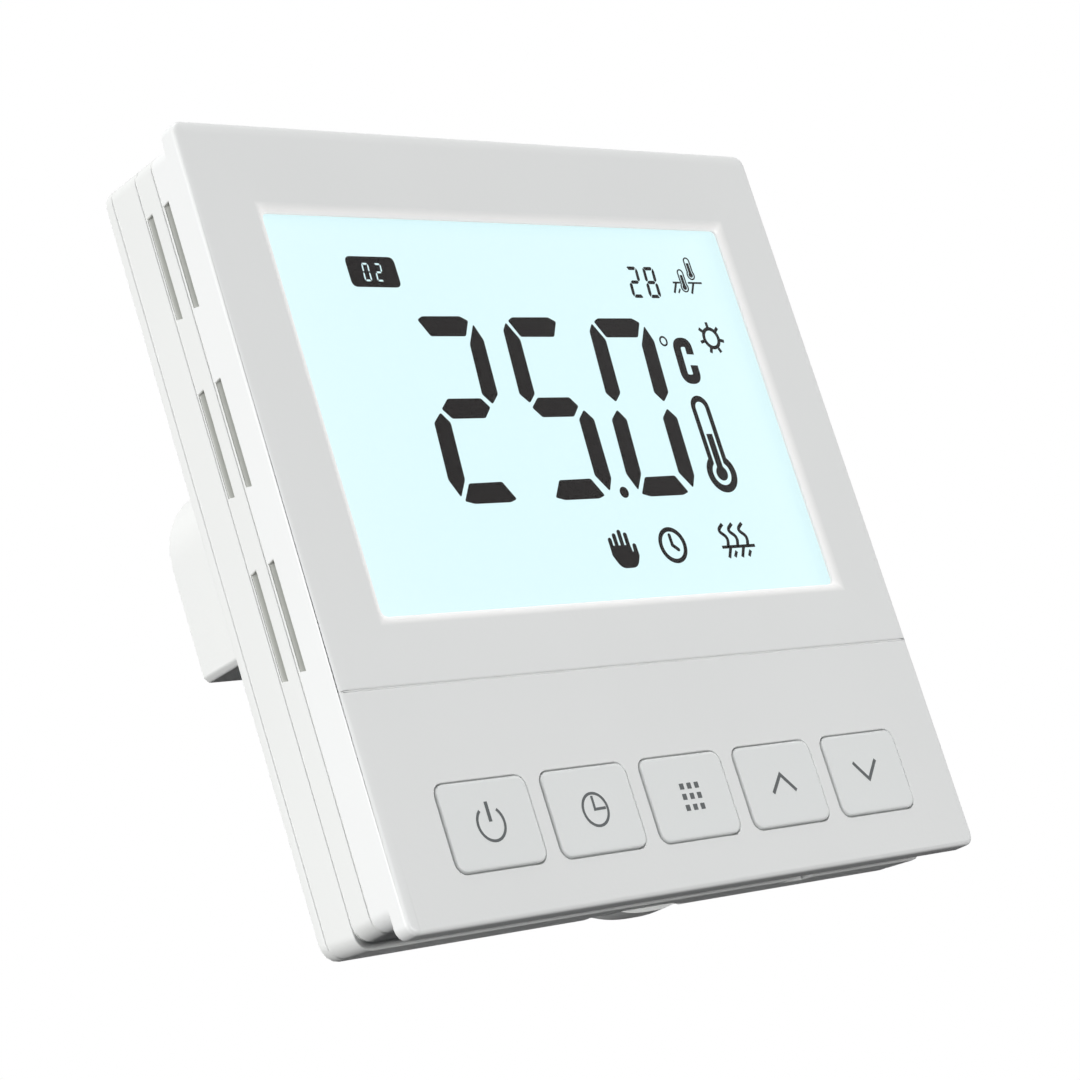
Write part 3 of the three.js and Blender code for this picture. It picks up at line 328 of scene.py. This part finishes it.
def lit_glass():
    """The display's glass, lit evenly from behind: pale cyan, a touch brighter beside the two lamps."""
    finish = Finish("lit_display")
    across, _, _ = separate(finish, finish.place())
    reach = (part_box("display_glass")[1].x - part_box("display_glass")[0].x) / 2
    near_lamp = (abs(across) / reach) ** 4
    glow = finish.blend(near_lamp, srgb(222, 248, 251), srgb(226, 250, 253))
    return finish.done(finish.surface(
        base_color=srgb(66, 74, 78),
        roughness=0.2 + 0.05 * finish.noise(80.0),
        emission_color=glow,
        emission_strength=0.93,
    ))


# ---------------------------------------------------------------------------------------------------------
# Softened mouldings


def sharp_edges(mesh, angle):
    return [edge for edge in mesh.edges if edge.is_manifold and edge.calc_face_angle() > math.radians(angle)]


def cleaned(mesh):
    """Joins split corners, and drops the triangles of flat faces."""
    bmesh.ops.remove_doubles(mesh, verts=mesh.verts, dist=1e-6)
    bmesh.ops.dissolve_limit(mesh, angle_limit=math.radians(0.6), verts=mesh.verts, edges=mesh.edges)


def block(name, across, depth, up):
    """A block between two places on each axis, its depth counted from the front face."""
    mesh = bmesh.new()
    bmesh.ops.create_cube(mesh, size=1.0)
    for vert in mesh.verts:
        share = vert.co + Vector((0.5, 0.5, 0.5))
        vert.co = Vector((
            (across[0] + share.x * (across[1] - across[0])) * MM,
            FRONT + (depth[0] + share.y * (depth[1] - depth[0])) * MM,
            (up[0] + share.z * (up[1] - up[0])) * MM,
        ))
    return solid(name, mesh)


def solid(name, mesh):
    made = bpy.data.meshes.new(name)
    mesh.to_mesh(made)
    mesh.free()
    return made


def carved(mesh, tools):
    """The solid with others cut from it or joined to it, each given as an operation and a mesh."""
    blank = bpy.data.objects.new("blank", solid("blank", mesh))
    bpy.context.scene.collection.objects.link(blank)
    helpers = []
    for operation, tool in tools:
        helper = bpy.data.objects.new("tool", tool)
        bpy.context.scene.collection.objects.link(helper)
        helpers.append(helper)
        step = blank.modifiers.new("step", "BOOLEAN")
        step.operation = operation
        step.solver = "EXACT"
        step.object = helper
    shaped = blank.evaluated_get(bpy.context.evaluated_depsgraph_get())
    result = bmesh.new()
    result.from_mesh(shaped.to_mesh())
    shaped.to_mesh_clear()
    for helper in helpers + [blank]:
        data = helper.data
        bpy.data.objects.remove(helper)
        bpy.data.meshes.remove(data)
    cleaned(result)
    return result


def crowned(mesh, node, rim=0.5, reach=0.9, sag=0.09, crisp=0.85, corner=1.25):
    """Lets a plate's flat front fall away gently towards its rounded rim, and keeps its bottom edge crisp.

    The crisp edge stops short of the plate's two lower corners.
    """
    low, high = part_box(node)
    across, up = Vector((1, 0, 0)), Vector((0, 0, 1))
    for inward in (rim + reach * share for share in (1.0, 0.66, 0.33)):
        for axis, edge, sign in ((across, low, 1), (across, high, -1), (up, high, -1)):
            flat = [
                face for face in mesh.faces
                if face.normal.y < -0.99 and abs(face.calc_center_bounds().y - FRONT) < 1e-5
            ]
            parts = {part for face in flat for part in (face, *face.edges, *face.verts)}
            cut = edge + axis * sign * inward * MM
            bmesh.ops.bisect_plane(mesh, geom=list(parts), plane_co=cut, plane_no=axis)
    for vert in mesh.verts:
        depth = (vert.co.y - FRONT) / MM
        inward = min(vert.co.x - low.x, high.x - vert.co.x, high.z - vert.co.z) / MM
        lift = (vert.co.z - low.z) / MM
        if depth < rim and lift < rim and inward > corner:
            vert.co.y = FRONT + depth * crisp * MM
            vert.co.z = low.z + lift * crisp * MM
        elif depth < rim and inward < rim + reach:
            fall = min(1.0, (rim + reach - inward) / reach) ** 2
            vert.co.y += sag * MM * fall * (1 - depth / rim)


KEY_RIM = 0.4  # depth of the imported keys' edge band, which is halved here
SHARP = 36  # degrees between two faces, past which their corner is rounded


def moulding(node, body, finish, edge, steps=2, sink=0.0, tools=(), crown=False):
    """A softened copy of a packed moulding: flat faces cleaned of triangles, then every corner rounded."""
    mesh = bmesh.new()
    mesh.from_mesh(frame["nodes"][node].data)
    cleaned(mesh)
    if tools:
        mesh = carved(mesh, tools)
    if sink:
        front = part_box(node)[0].y
        for vert in mesh.verts:
            depth = (vert.co.y - front) / MM
            if depth < KEY_RIM:
                vert.co.y = front + (sink + depth * (KEY_RIM / 2 - sink) / KEY_RIM) * MM
    if crown:
        crowned(mesh, node)
    bmesh.ops.bevel(
        mesh, geom=sharp_edges(mesh, SHARP), offset=edge * MM, segments=steps, profile=0.5,
        affect="EDGES", clamp_overlap=False, harden_normals=False, loop_slide=True,
    )
    piece = bpy.data.objects.new(node + "_moulding", solid(node + "_moulding", mesh))
    bpy.context.scene.collection.objects.link(piece)
    piece.data.materials.clear()
    piece.data.materials.append(finish)
    smooth(piece)
    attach(piece, body)
    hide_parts(node)
    return piece


def smooth(piece, angle=40):
    """Shades the rounded corners smoothly, and keeps the flats flat."""
    piece.data.shade_smooth()
    piece.data.set_sharp_from_angle(angle=math.radians(angle))
    weight = piece.modifiers.new("flats", "WEIGHTED_NORMAL")
    weight.keep_sharp = True
    weight.weight = 80


# ---------------------------------------------------------------------------------------------------------
# Flat shapes for printed marks and display segments, in X and Z


def turned(points, x=0.0, z=0.0, size=1.0):
    return [(x + size * across, z + size * up) for across, up in points]


def arc(x, z, radius, start, end, steps=24):
    angles = [math.radians(start + (end - start) * step / steps) for step in range(steps + 1)]
    return [(x + radius * math.cos(angle), z + radius * math.sin(angle)) for angle in angles]


def circle(x, z, radius, steps=40):
    return arc(x, z, radius, 0, 360 - 360 / steps, steps - 1)


def ring(x, z, outer, inner):
    return [circle(x, z, outer), circle(x, z, inner)]


def rounded(corners, radius, steps=4, closed=True):
    """An outline with its corners rounded."""
    count = len(corners)
    outline = []
    for index, corner in enumerate(corners):
        if not closed and index in (0, count - 1):
            outline.append(corner)
            continue
        here = Vector(corner)
        before = Vector(corners[index - 1]) - here
        after = Vector(corners[(index + 1) % count]) - here
        reach = min(radius, before.length / 2.05, after.length / 2.05)
        start, end = here + before.normalized() * reach, here + after.normalized() * reach
        for step in range(steps + 1):
            share = step / steps
            point = start * (1 - share) ** 2 + here * 2 * share * (1 - share) + end * share ** 2
            outline.append(tuple(point))
    return outline


def box_outline(left, bottom, right, top, radius):
    return rounded([(left, bottom), (right, bottom), (right, top), (left, top)], radius)


def stroke(points, width, round_ends=False):
    """The outline of a line of even width."""
    points = [Vector(point) for point in points]
    sides = ([], [])
    for index, point in enumerate(points):
        before = (point - points[index - 1]).normalized() if index else None
        after = (points[index + 1] - point).normalized() if index < len(points) - 1 else None
        along = ((before or after) + (after or before)).normalized()
        across = Vector((-along.y, along.x))
        lean = across.dot(Vector((-(before or after).y, (before or after).x)))
        offset = across * (width / 2 / max(lean, 0.5))
        sides[0].append(tuple(point + offset))
        sides[1].append(tuple(point - offset))
    outline = sides[0]
    if round_ends:
        outline = outline + cap(points[-1], points[-1] - points[-2], width)
    outline = outline + sides[1][::-1]
    if round_ends:
        outline = outline + cap(points[0], points[0] - points[1], width)
    return outline


def cap(end, direction, width, steps=6):
    """Half a circle past the end of a line, without its two ends."""
    facing = math.degrees(math.atan2(direction.y, direction.x))
    return arc(end.x, end.y, width / 2, facing + 90, facing - 90, steps)[1:-1]


def flat_shape(name, loops, front, thickness, body, finish):
    """A thin printed shape: each outline in it is filled, and an outline inside another is a hole."""
    curve = bpy.data.curves.new(name, "CURVE")
    curve.dimensions = "2D"
    curve.fill_mode = "BOTH"
    curve.extrude = thickness / 2
    for loop in loops:
        spline = curve.splines.new("POLY")
        spline.points.add(len(loop) - 1)
        for point, (across, up) in zip(spline.points, loop):
            point.co = (across, up, 0, 1)
        spline.use_cyclic_u = True
    cutter = bpy.data.objects.new(name + "_outline", curve)
    made = bpy.data.meshes.new_from_object(cutter)
    bpy.data.objects.remove(cutter)
    bpy.data.curves.remove(curve)
    made.name = name
    upright = Matrix.Rotation(math.pi / 2, 4, "X")
    made.transform(Matrix.Translation((0, front + thickness / 2 * MM, 0)) @ upright @ Matrix.Scale(MM, 4))
    made.materials.clear()
    made.materials.append(finish)
    piece = bpy.data.objects.new(name, made)
    bpy.context.scene.collection.objects.link(piece)
    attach(piece, body)
    return piece


# ---------------------------------------------------------------------------------------------------------
# The materials of the part

white_shell = vented_shell("white_shell", srgb(233, 234, 233))
base_shell = vented_shell("base_shell", srgb(227, 228, 226))
white_key = moulded("white_key", srgb(232, 234, 233), roughness=0.4)
grey_print = moulded("grey_print", srgb(92, 96, 97), roughness=0.5, grain=0.004)
display_ink = moulded(
    "display_ink", srgb(16, 8, 8), roughness=0.5, grain=0.0, mottle=0.05, specular_ior_level=0.1,
)
black_plastic = moulded("black_plastic", srgb(32, 32, 34), roughness=0.5)
terminal_plastic = moulded("terminal_plastic", srgb(54, 56, 58), roughness=0.46)
clear_window = window_pane("clear_window")
clear_guide = see_through("clear_guide", srgb(240, 252, 255), 0.12)
display_glow = lit_glass()
white_inner = moulded("white_inner", srgb(238, 238, 236), roughness=0.55)
grey_rubber = moulded("grey_rubber", srgb(208, 204, 194), roughness=0.75, grain=0.02)
solder_mask = circuit_board()
zinc = plated("zinc", srgb(196, 198, 202), 0.28)
cell_steel = plated("cell_steel", srgb(206, 207, 208), 0.18, 0.006)
relay_blue = moulded("relay_blue", srgb(36, 84, 150), roughness=0.36)
ferrite_grey = moulded(
    "ferrite_grey", srgb(46, 46, 48), roughness=0.7, grain=0.04, grain_size=0.3, mottle=0.12,
)
yellow_tape = wound_tape()
film_yellow = moulded("film_yellow", srgb(208, 172, 50), roughness=0.38)
dark_sleeve = moulded("dark_sleeve", srgb(34, 36, 44), roughness=0.25, grain=0.006)
blue_epoxy = moulded(
    "blue_epoxy", srgb(44, 102, 152), roughness=0.3, grain=0.03, grain_size=1.2, mottle=0.06,
)

FINISHES = {
    "shell": white_shell,
    "key_plastic": white_key,
    "window": clear_window,
    "display": display_glow,
    "light_guide": clear_guide,
    "white_plastic": white_inner,
    "elastomer": grey_rubber,
    "circuit_board": solder_mask,
    "black_plastic": black_plastic,
    "zinc_steel": zinc,
    "cell_can": cell_steel,
    "relay_case": relay_blue,
    "ferrite": ferrite_grey,
    "winding_tape": yellow_tape,
    "film_box": film_yellow,
    "sleeve": dark_sleeve,
    "varistor_coat": blue_epoxy,
    "terminal_plastic": terminal_plastic,
}

slot_of = {part["node"]: part["material_slot"] for part in frame["record"]["subparts"]}
for node, shown in frame["nodes"].items():
    finish = FINISHES[slot_of[node]]
    for index in range(len(shown.material_slots)):
        shown.material_slots[index].material = finish

# ---------------------------------------------------------------------------------------------------------
# Shells, keys and the tab

EDGES = {
    "front_cover": 0.12,
    "middle_frame": 0.12,
    "base_cover": 0.15,
    "base_housing": 0.2,
    "release_tab": 0.12,
}
TAB_HALF, TAB_SLOT, TAB_NOTCH = 6.3, 6.6, 7.05  # half widths: the tab, its slot, the flange's notch
LEDGE_FRONT, LEDGE_BACK, FOOT_BACK, WALL_PLANE = 7.9, 8.95, 11.8, 13.3  # depths from the front face
BASE_BOTTOM, BASE_RISE, TAB_TOP = -42.2, 0.5, -40.95
LEDGE_OVERLAP = 0.25  # how far the ledge runs past the slot, into the base at either side
LEDGE_PROUD = 0.005
LEDGE_DROP = 0.1  # of the ledge's top, below TAB_TOP
LEDGE_EDGE = 0.15
FOOT_GAP = 0.03  # between the ledge and the tab's foot
FOOT_ROOT = 0.12  # how far the foot's top reaches up into the tab
GRIP_STATIONS = [(10.5, 4.6, -41.85, -42.42), (13.2, 6.15, -41.45, -42.3)]
BULGE_FLATNESS = 2.6  # a parabola is 2


def underside(depth):
    """How low the base reaches at a depth: its underside rises towards the wall."""
    return BASE_BOTTOM + BASE_RISE * (depth - LEDGE_FRONT) / (WALL_PLANE - LEDGE_FRONT)


def wedge(name, half, front, back, top):
    """A bar along the base's underside, which it follows."""
    made = block(name, (-half, half), (front, back), (BASE_BOTTOM, top))
    for vert in made.vertices:
        if vert.co.z < (top - 0.01) * MM:
            vert.co.z = underside((vert.co.y - FRONT) / MM) * MM
    return made


def bulge(name, stations, top, steps=24):
    """The tab's finger bulge, lofted between flat-topped arcs.

    Each arc is given as its depth, its half width, and its height at the sides and at its lowest.
    """
    mesh = bmesh.new()
    loops = []
    for depth, half, side, lowest in stations:
        points = [(half, top), (-half, top)]
        for step in range(steps + 1):
            turn = -1 + 2 * step / steps
            points.append((half * turn, lowest + (side - lowest) * abs(turn) ** BULGE_FLATNESS))
        loops.append([mesh.verts.new((x * MM, FRONT + depth * MM, z * MM)) for x, z in points])
    count = len(loops[0])
    for near, far in zip(loops, loops[1:]):
        for index in range(count):
            after = (index + 1) % count
            mesh.faces.new((near[index], near[after], far[after], far[index]))
    mesh.faces.new(loops[0])
    mesh.faces.new(loops[-1][::-1])
    bmesh.ops.recalc_face_normals(mesh, faces=mesh.faces)
    return solid(name, mesh)


# The blocks reach past the pieces that they cut, below and behind.
TOOLS = {
    "base_housing": [("DIFFERENCE", block("notch", (-TAB_NOTCH, TAB_NOTCH), (12.0, 13.5), (-43, -39.9)))],
    "release_tab": [("DIFFERENCE", block("front_cut", (-7, 7), (7.5, 13.5), (-43.5, TAB_TOP)))],
}
body_of_node = {
    node: body for body, nodes in frame["record"]["behaviour"]["bodies"].items() for node in nodes
}
for node, edge in EDGES.items():
    plate = node == "front_cover"
    moulding(
        node, body_of_node[node], white_shell if plate else base_shell, edge,
        tools=TOOLS.get(node, ()), crown=plate,
    )
KEY_EDGE, KEY_SINK = 0.12, 0.03
for key in KEYS:
    moulding("key_" + key, key + "_key", white_key, KEY_EDGE, sink=KEY_SINK)


def along_bottom(name, made, body, finish, edge=0.0):
    """A piece along the bottom of the base, with the lower corner of its front rounded."""
    mesh = bmesh.new()
    mesh.from_mesh(made)
    if edge:
        front = min(vert.co.y for vert in mesh.verts)
        bottom = min(vert.co.z for vert in mesh.verts)
        corner = [side for side in mesh.edges
                  if all(abs(vert.co.y - front) + abs(vert.co.z - bottom) < 1e-6 for vert in side.verts)]
        bmesh.ops.bevel(mesh, geom=corner, offset=edge * MM, segments=3, profile=0.5, affect="EDGES")
    piece = bpy.data.objects.new(name, solid(name, mesh))
    bpy.context.scene.collection.objects.link(piece)
    piece.data.materials.append(finish)
    smooth(piece)
    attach(piece, body)


ledge = wedge("ledge", TAB_SLOT + LEDGE_OVERLAP, LEDGE_FRONT - LEDGE_PROUD, LEDGE_BACK, TAB_TOP - LEDGE_DROP)
along_bottom("ledge", ledge, "base", base_shell, LEDGE_EDGE)
foot = wedge("foot", TAB_HALF, LEDGE_BACK + FOOT_GAP, FOOT_BACK, TAB_TOP + FOOT_ROOT)
along_bottom("tab_foot", foot, "release_tab", base_shell)
grip = bulge("grip", GRIP_STATIONS, TAB_TOP)
along_bottom("tab_grip", grip, "release_tab", base_shell)


def key_skirt(key, reach=0.12, overlap=0.3, depth=0.55, thickness=0.5, corner=1.3, inner_corner=0.9):
    """The skirt round a key's foot, which closes the gap round it a little below the face."""
    low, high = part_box("key_" + key)
    left, right, bottom, top = low.x / MM, high.x / MM, low.z / MM, high.z / MM
    outer = box_outline(left - reach, bottom - reach, right + reach, top + reach, corner)
    inner = box_outline(left + overlap, bottom + overlap, right - overlap, top - overlap, inner_corner)
    front = low.y + depth * MM
    flat_shape("skirt_" + key, [outer, inner], front, thickness, key + "_key", white_key)


for key in KEYS:
    key_skirt(key)


LIP_INSET, LIP_THICK, BODY_CORNER = 0.12, 1.0, 1.9
FRONT_SHELLS_BOTTOM, BASE_SHELLS_BOTTOM = -41.4, -41.82
TAB_CLEARANCE = 0.6  # between the flange's notch and each end of the rear lip


def seam_lip(name, bottom, front, back, body, opening=0.0):
    """The lip inside a seam between two shells, just below their surface, which keeps light and dust out.

    It stops short of an opening in the middle of the bottom side.
    """
    low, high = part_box("middle_frame")
    inset, half = LIP_INSET + LIP_THICK / 2, LIP_THICK / 2
    left, right = low.x / MM + inset, high.x / MM - inset
    down, up = bottom + inset, high.z / MM - inset
    if opening:
        corners = [(-opening, down), (left, down), (left, up), (right, up), (right, down), (opening, down)]
        loops = [stroke(rounded(corners, BODY_CORNER - inset, closed=False), LIP_THICK)]
    else:
        loops = [
            box_outline(left - grown, down - grown, right + grown, up + grown, BODY_CORNER - inset + grown)
            for grown in (half, -half)
        ]
    flat_shape(name, loops, FRONT + front * MM, back - front, body, base_shell)


seam_lip("lip_front_cover", FRONT_SHELLS_BOTTOM, 4.72, 5.1, "front_panel")
seam_lip("lip_base_cover", FRONT_SHELLS_BOTTOM, 7.73, 8.1, "base")
seam_lip("lip_base_housing", BASE_SHELLS_BOTTOM, 11.84, 12.2, "base", opening=TAB_NOTCH + TAB_CLEARANCE)

# ---------------------------------------------------------------------------------------------------------
# The picture in the display, measured from the middle of the window

SEGMENTS = {
    "top": [(-3.03, 10.27), (-2.3, 10.66), (3.17, 10.71), (4.24, 10.18), (3.24, 8.38), (-1.82, 8.36)],
    "upper_right": [(4.83, 9.78), (5.66, 7.92), (5.25, 1.63), (4.06, 0.51), (2.96, 1.65), (3.46, 7.44)],
    "upper_left": [(-3.48, 10.03), (-2.08, 8.01), (-2.5, 1.62), (-3.62, 0.58), (-4.77, 1.64), (-4.18, 9.11)],
    "middle": [(-2.26, 1.18), (2.54, 1.18), (3.54, 0.12), (2.38, -1.09), (-2.39, -1.1), (-3.5, 0.03)],
    "lower_left": [
        (-3.89, -0.39), (-2.86, -1.56), (-3.34, -7.99), (-4.61, -9.9), (-5.66, -7.93), (-5.17, -1.52),
    ],
    "lower_right": [(4.16, -0.33), (5.29, -1.46), (5.03, -8.42), (4.22, -9.87), (2.68, -8.0), (3.02, -1.43)],
    "bottom": [
        (-2.93, -8.42), (1.85, -8.36), (3.22, -10.37), (2.25, -10.69), (-2.9, -10.71), (-4.22, -10.37),
    ],
}
DIGITS = {
    "0": ("top", "upper_left", "upper_right", "lower_left", "lower_right", "bottom"),
    "2": ("top", "upper_right", "middle", "lower_left", "bottom"),
    "5": ("top", "upper_left", "middle", "lower_right", "bottom"),
    "8": tuple(SEGMENTS),
}


def digits(text, x, z, size, pitch):
    """Seven-segment numerals, the first centred at x and z."""
    loops = []
    for place, numeral in enumerate(text):
        for segment in DIGITS[numeral]:
            outline = rounded(SEGMENTS[segment], 0.2, 2)
            loops.append(turned(outline, x + place * pitch, z, size))
    return loops


def tube(x, bulb_z, top_z, half_width, bulb, flat_top=False):
    """A thermometer's outline: a straight tube over a round bulb."""
    turn = math.degrees(math.asin(half_width / bulb))
    outline = arc(x, bulb_z, bulb, 90 + turn, 450 - turn, 32)
    if flat_top:
        return outline + [(x + half_width, top_z), (x - half_width, top_z)]
    return outline + arc(x, top_z - half_width, half_width, 0, 180, 14)


def hand_outline(x, z):
    """An open hand: four fingers side by side, and a thumb at the right."""
    fingers = ((-1.74, 1.34), (-0.92, 1.82), (-0.04, 2.2), (0.82, 1.85))
    half, root = 0.27, 0.4
    outline = []
    for across, tip in fingers:
        outline += [(across - half, root)]
        outline += arc(across, tip - half, half, 180, 0, 6)
        outline += [(across + half, root)]
    outline += [(1.2, -0.38), (1.38, -0.4)] + arc(1.74, 0.28, 0.27, 170, 0, 6)
    outline += rounded([(2.04, -0.9), (1.3, -2.22), (-1.2, -2.24), (-2.02, -0.7)], 1.2, 6, closed=False)
    return turned(outline, x, z)


def wave(x, z):
    """One curl of rising heat."""
    curl = rounded([(0.62, 2.72), (-0.42, 1.98), (0.86, 1.08), (0.42, -0.1)], 0.75, 6, closed=False)
    return turned(stroke(curl, 0.42), x, z)


def probe(x, bulb_z, top_z):
    """A small thermometer with a thin outline and a filled core."""
    return [
        tube(x, bulb_z, top_z, 0.52, 0.64),
        tube(x, bulb_z, top_z - 0.17, 0.35, 0.47),
        tube(x, bulb_z, top_z - 0.75, 0.2, 0.32, flat_top=True),
    ]


PICTURE_LIFT, PICTURE_THICK, MARK_THICK = 0.06, 0.04, 0.02


def picture():
    """Every segment that the display shows, each measured from the middle of the window."""
    low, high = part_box("display_window")
    glass_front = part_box("display_glass")[0].y
    middle_x, middle_z = (low.x + high.x) / 2 / MM, (low.z + high.z) / 2 / MM
    sun, clock = (29.22, 9.03), (11.85, -15.79)
    bar, floor_bar = -16.37, 16.0
    shapes = {
        "temperature": digits("250", -12.66, 0.7, 1.0, 13.25) + [circle(6.94, -9.4, 0.65)],
        "set_point": digits("28", 19.53, 15.93, 0.182, 2.72),
        "day_badge": [
            box_outline(-23.35, 14.66, -16.5, 18.18, 0.75), *digits("02", -20.85, 16.38, 0.1, 1.75),
        ],
        "degree_ring": ring(21.05, 8.63, 0.64, 0.42),
        "degree_letter": [stroke(rounded(
            [(24.8, 7.0), (24.87, 8.5), (22.96, 8.5), (22.7, 3.92), (24.74, 3.92), (24.8, 5.64)],
            0.95, 6, closed=False), 1.14)],
        "sun": ring(*sun, 1.4, 0.96) + [
            stroke([arc(*sun, radius, angle, angle, 1)[0] for radius in (1.41, 2.0)], 0.4)
            for angle in [92 + turn * 360 / 7 for turn in range(7)]
        ],
        "thermometer": [
            tube(23.53, -7.6, 1.9, 1.46, 2.33),
            tube(23.53, -7.6, 1.16, 0.82, 1.44),
            tube(23.53, -7.6, -2.8, 0.46, 0.88, flat_top=True),
        ],
        "hand": [hand_outline(4.12, -15.87)],
        "clock": ring(*clock, 2.12, 1.6) + [
            stroke([(11.76, -14.62), (11.78, -15.78), (12.52, -16.34)], 0.44, round_ends=True)
        ],
        "rising_heat": [wave(x, bar) for x in (20.14, 21.7, 23.36)],
        "floor_bar": [stroke([(19.6, bar), (24.98, bar)], 0.36)],
        "floor_legs": [
            stroke([(20.98, bar), (20.26, bar - 1.28)], 0.4),
            stroke([(21.7, bar - 0.55), (21.22, bar - 1.22)], 0.38),
            stroke([(23.12, bar), (22.4, bar - 1.28)], 0.4),
            stroke([(24.02, bar - 0.55), (23.54, bar - 1.22)], 0.38),
        ],
        "probe_floor": [
            stroke([(25.85, floor_bar), (27.0, floor_bar)], 0.22),
            stroke([(28.4, floor_bar), (30.7, floor_bar)], 0.22),
        ],
        "probe_floor_legs": [
            stroke([(26.38, floor_bar), (25.6, floor_bar - 1.3)], 0.28),
            stroke([(26.72, floor_bar - 0.8), (26.3, floor_bar - 1.3)], 0.2),
            stroke([(29.3, floor_bar), (28.5, floor_bar - 1.36)], 0.28),
        ],
        "upper_probe": probe(29.3, 17.0, 19.25),
        "lower_probe": probe(27.6, 15.42, 17.72),
    }
    for name, loops in shapes.items():
        placed = [turned(loop, middle_x, middle_z) for loop in loops]
        front = glass_front - PICTURE_LIFT * MM
        flat_shape("picture_" + name, placed, front, PICTURE_THICK, "front_panel", display_ink)


picture()

# ---------------------------------------------------------------------------------------------------------
# The marks on the keys, measured from the middle of each key


def key_marks():
    line = 0.3
    marks = {
        "power": [
            stroke([(-0.12, 2.25), (-0.13, 0.17)], 0.43),
            stroke(arc(-0.14, -0.02, 1.78, 128, 410, 48), line),
        ],
        "clock": ring(0.1, -0.04, 1.88, 1.58) + [stroke([(0.05, 1.42), (0.03, -0.02), (1.58, 0.02)], line)],
        "menu": [
            box_outline(x - 0.31, z - 0.33, x + 0.31, z + 0.33, 0.04)
            for x in (-1.0, 0.12, 1.24) for z in (1.13, 0.0, -1.2)
        ],
        "up": [stroke([(-1.8, -0.92), (0.05, 1.05), (1.9, -0.9)], 0.4)],
        "down": [stroke([(-2.1, 1.25), (-0.2, -0.8), (1.7, 1.3)], 0.4)],
    }
    for key, loops in marks.items():
        low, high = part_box("key_" + key)
        middle_x, middle_z = (low.x + high.x) / 2 / MM, (low.z + high.z) / 2 / MM
        placed = [turned(loop, middle_x, middle_z) for loop in loops]
        flat_shape("mark_" + key, placed, low.y, MARK_THICK, key + "_key", grey_print)


key_marks()

# ---------------------------------------------------------------------------------------------------------
# Studio: camera, pale floor, soft light


def camera():
    lens = bpy.data.cameras.new("camera")
    lens.lens = 110.91
    lens.sensor_width = 36
    lens.clip_start, lens.clip_end = 0.01, 20
    eye = bpy.data.objects.new("camera", lens)
    bpy.context.scene.collection.objects.link(eye)
    right = Vector((0.71011899, -0.64118263, -0.29088805))
    down = Vector((-0.03843092, 0.37723162, -0.92532123))
    forward = Vector((0.70303207, 0.66826726, 0.2432381))
    turn = Matrix((right, -down, -forward)).transposed().to_4x4()
    eye.matrix_world = Matrix.Translation((-0.25309, -0.24436, -0.08813)) @ turn
    bpy.context.scene.camera = eye


def lamp(name, place, size, power, aim=(0, 0, 0)):
    light = bpy.data.lights.new(name, "AREA")
    light.shape = "DISK"
    light.size = size
    light.energy = power
    shown = bpy.data.objects.new(name, light)
    shown.location = place
    shown.rotation_mode = "QUATERNION"
    shown.rotation_quaternion = (Vector(aim) - Vector(place)).to_track_quat("-Z", "Y")
    bpy.context.scene.collection.objects.link(shown)


def floor():
    """A pale floor that shows the shadow, and throws little light back up."""
    finish = Finish("pale_floor")
    seen = finish.node("ShaderNodeLightPath", out="Is Camera Ray")
    matt = finish.node("ShaderNodeBsdfDiffuse", None, {"Color": srgb(250, 250, 250)})
    even = finish.node("ShaderNodeEmission", None, {"Color": srgb(250, 250, 250), "Strength": 0.85})
    pale = finish.node("ShaderNodeMixShader", None, {0: 0.5, 1: matt, 2: even})
    dim = finish.node("ShaderNodeBsdfDiffuse", None, {"Color": srgb(26, 28, 32)})
    material = finish.done(finish.node("ShaderNodeMixShader", None, {0: seen, 1: dim, 2: pale}))
    mesh = bmesh.new()
    bmesh.ops.create_circle(mesh, cap_ends=True, segments=96, radius=6.0)
    made = bpy.data.meshes.new("floor")
    mesh.to_mesh(made)
    mesh.free()
    made.materials.append(material)
    ground = bpy.data.objects.new("floor", made)
    ground.location = (0, 0, -0.6)
    bpy.context.scene.collection.objects.link(ground)


def world():
    """White where the camera, gloss or glass looks; as light, bright above and dark below."""
    sky = bpy.data.worlds.new("studio")
    bpy.context.scene.world = sky
    sky.use_nodes = True
    tree = sky.node_tree
    tree.nodes.clear()
    wiring = Finish.__new__(Finish)
    wiring.tree = tree
    direction = wiring.node("ShaderNodeTexCoord", out="Generated")
    _, _, up = separate(wiring, direction)
    level = wiring.node("ShaderNodeMapRange", {"interpolation_type": "SMOOTHSTEP"},
                        {"Value": up, "From Min": -0.2, "From Max": 0.2, "To Min": 0.008, "To Max": 0.4})
    soft = wiring.node("ShaderNodeBackground", None, {"Color": (0.97, 0.985, 1.0, 1.0), "Strength": level})
    white = wiring.node("ShaderNodeBackground", None, {"Color": (1.0, 1.0, 1.0, 1.0), "Strength": 1.0})
    path = wiring.node("ShaderNodeLightPath", out="Is Camera Ray")
    outputs = path.socket.node.outputs
    gloss, through = Value(wiring, outputs["Is Glossy Ray"]), Value(wiring, outputs["Is Transmission Ray"])
    seen = (path + gloss + through).lesser(1.0)
    shown = wiring.node("ShaderNodeMixShader", None, {0: seen, 1: soft, 2: white})
    wiring.node("ShaderNodeOutputWorld", None, {"Surface": shown})


camera()
floor()
world()
lamp("side_light", (-2.0, 0.55, 0.05), 1.2, 40.0)
lamp("top_light", (0.1, -0.1, 1.9), 1.0, 13.0)
lamp("front_light", (0.0, -1.2, -0.25), 0.2, 9.0)
bpy.context.scene.view_settings.view_transform = "Standard"
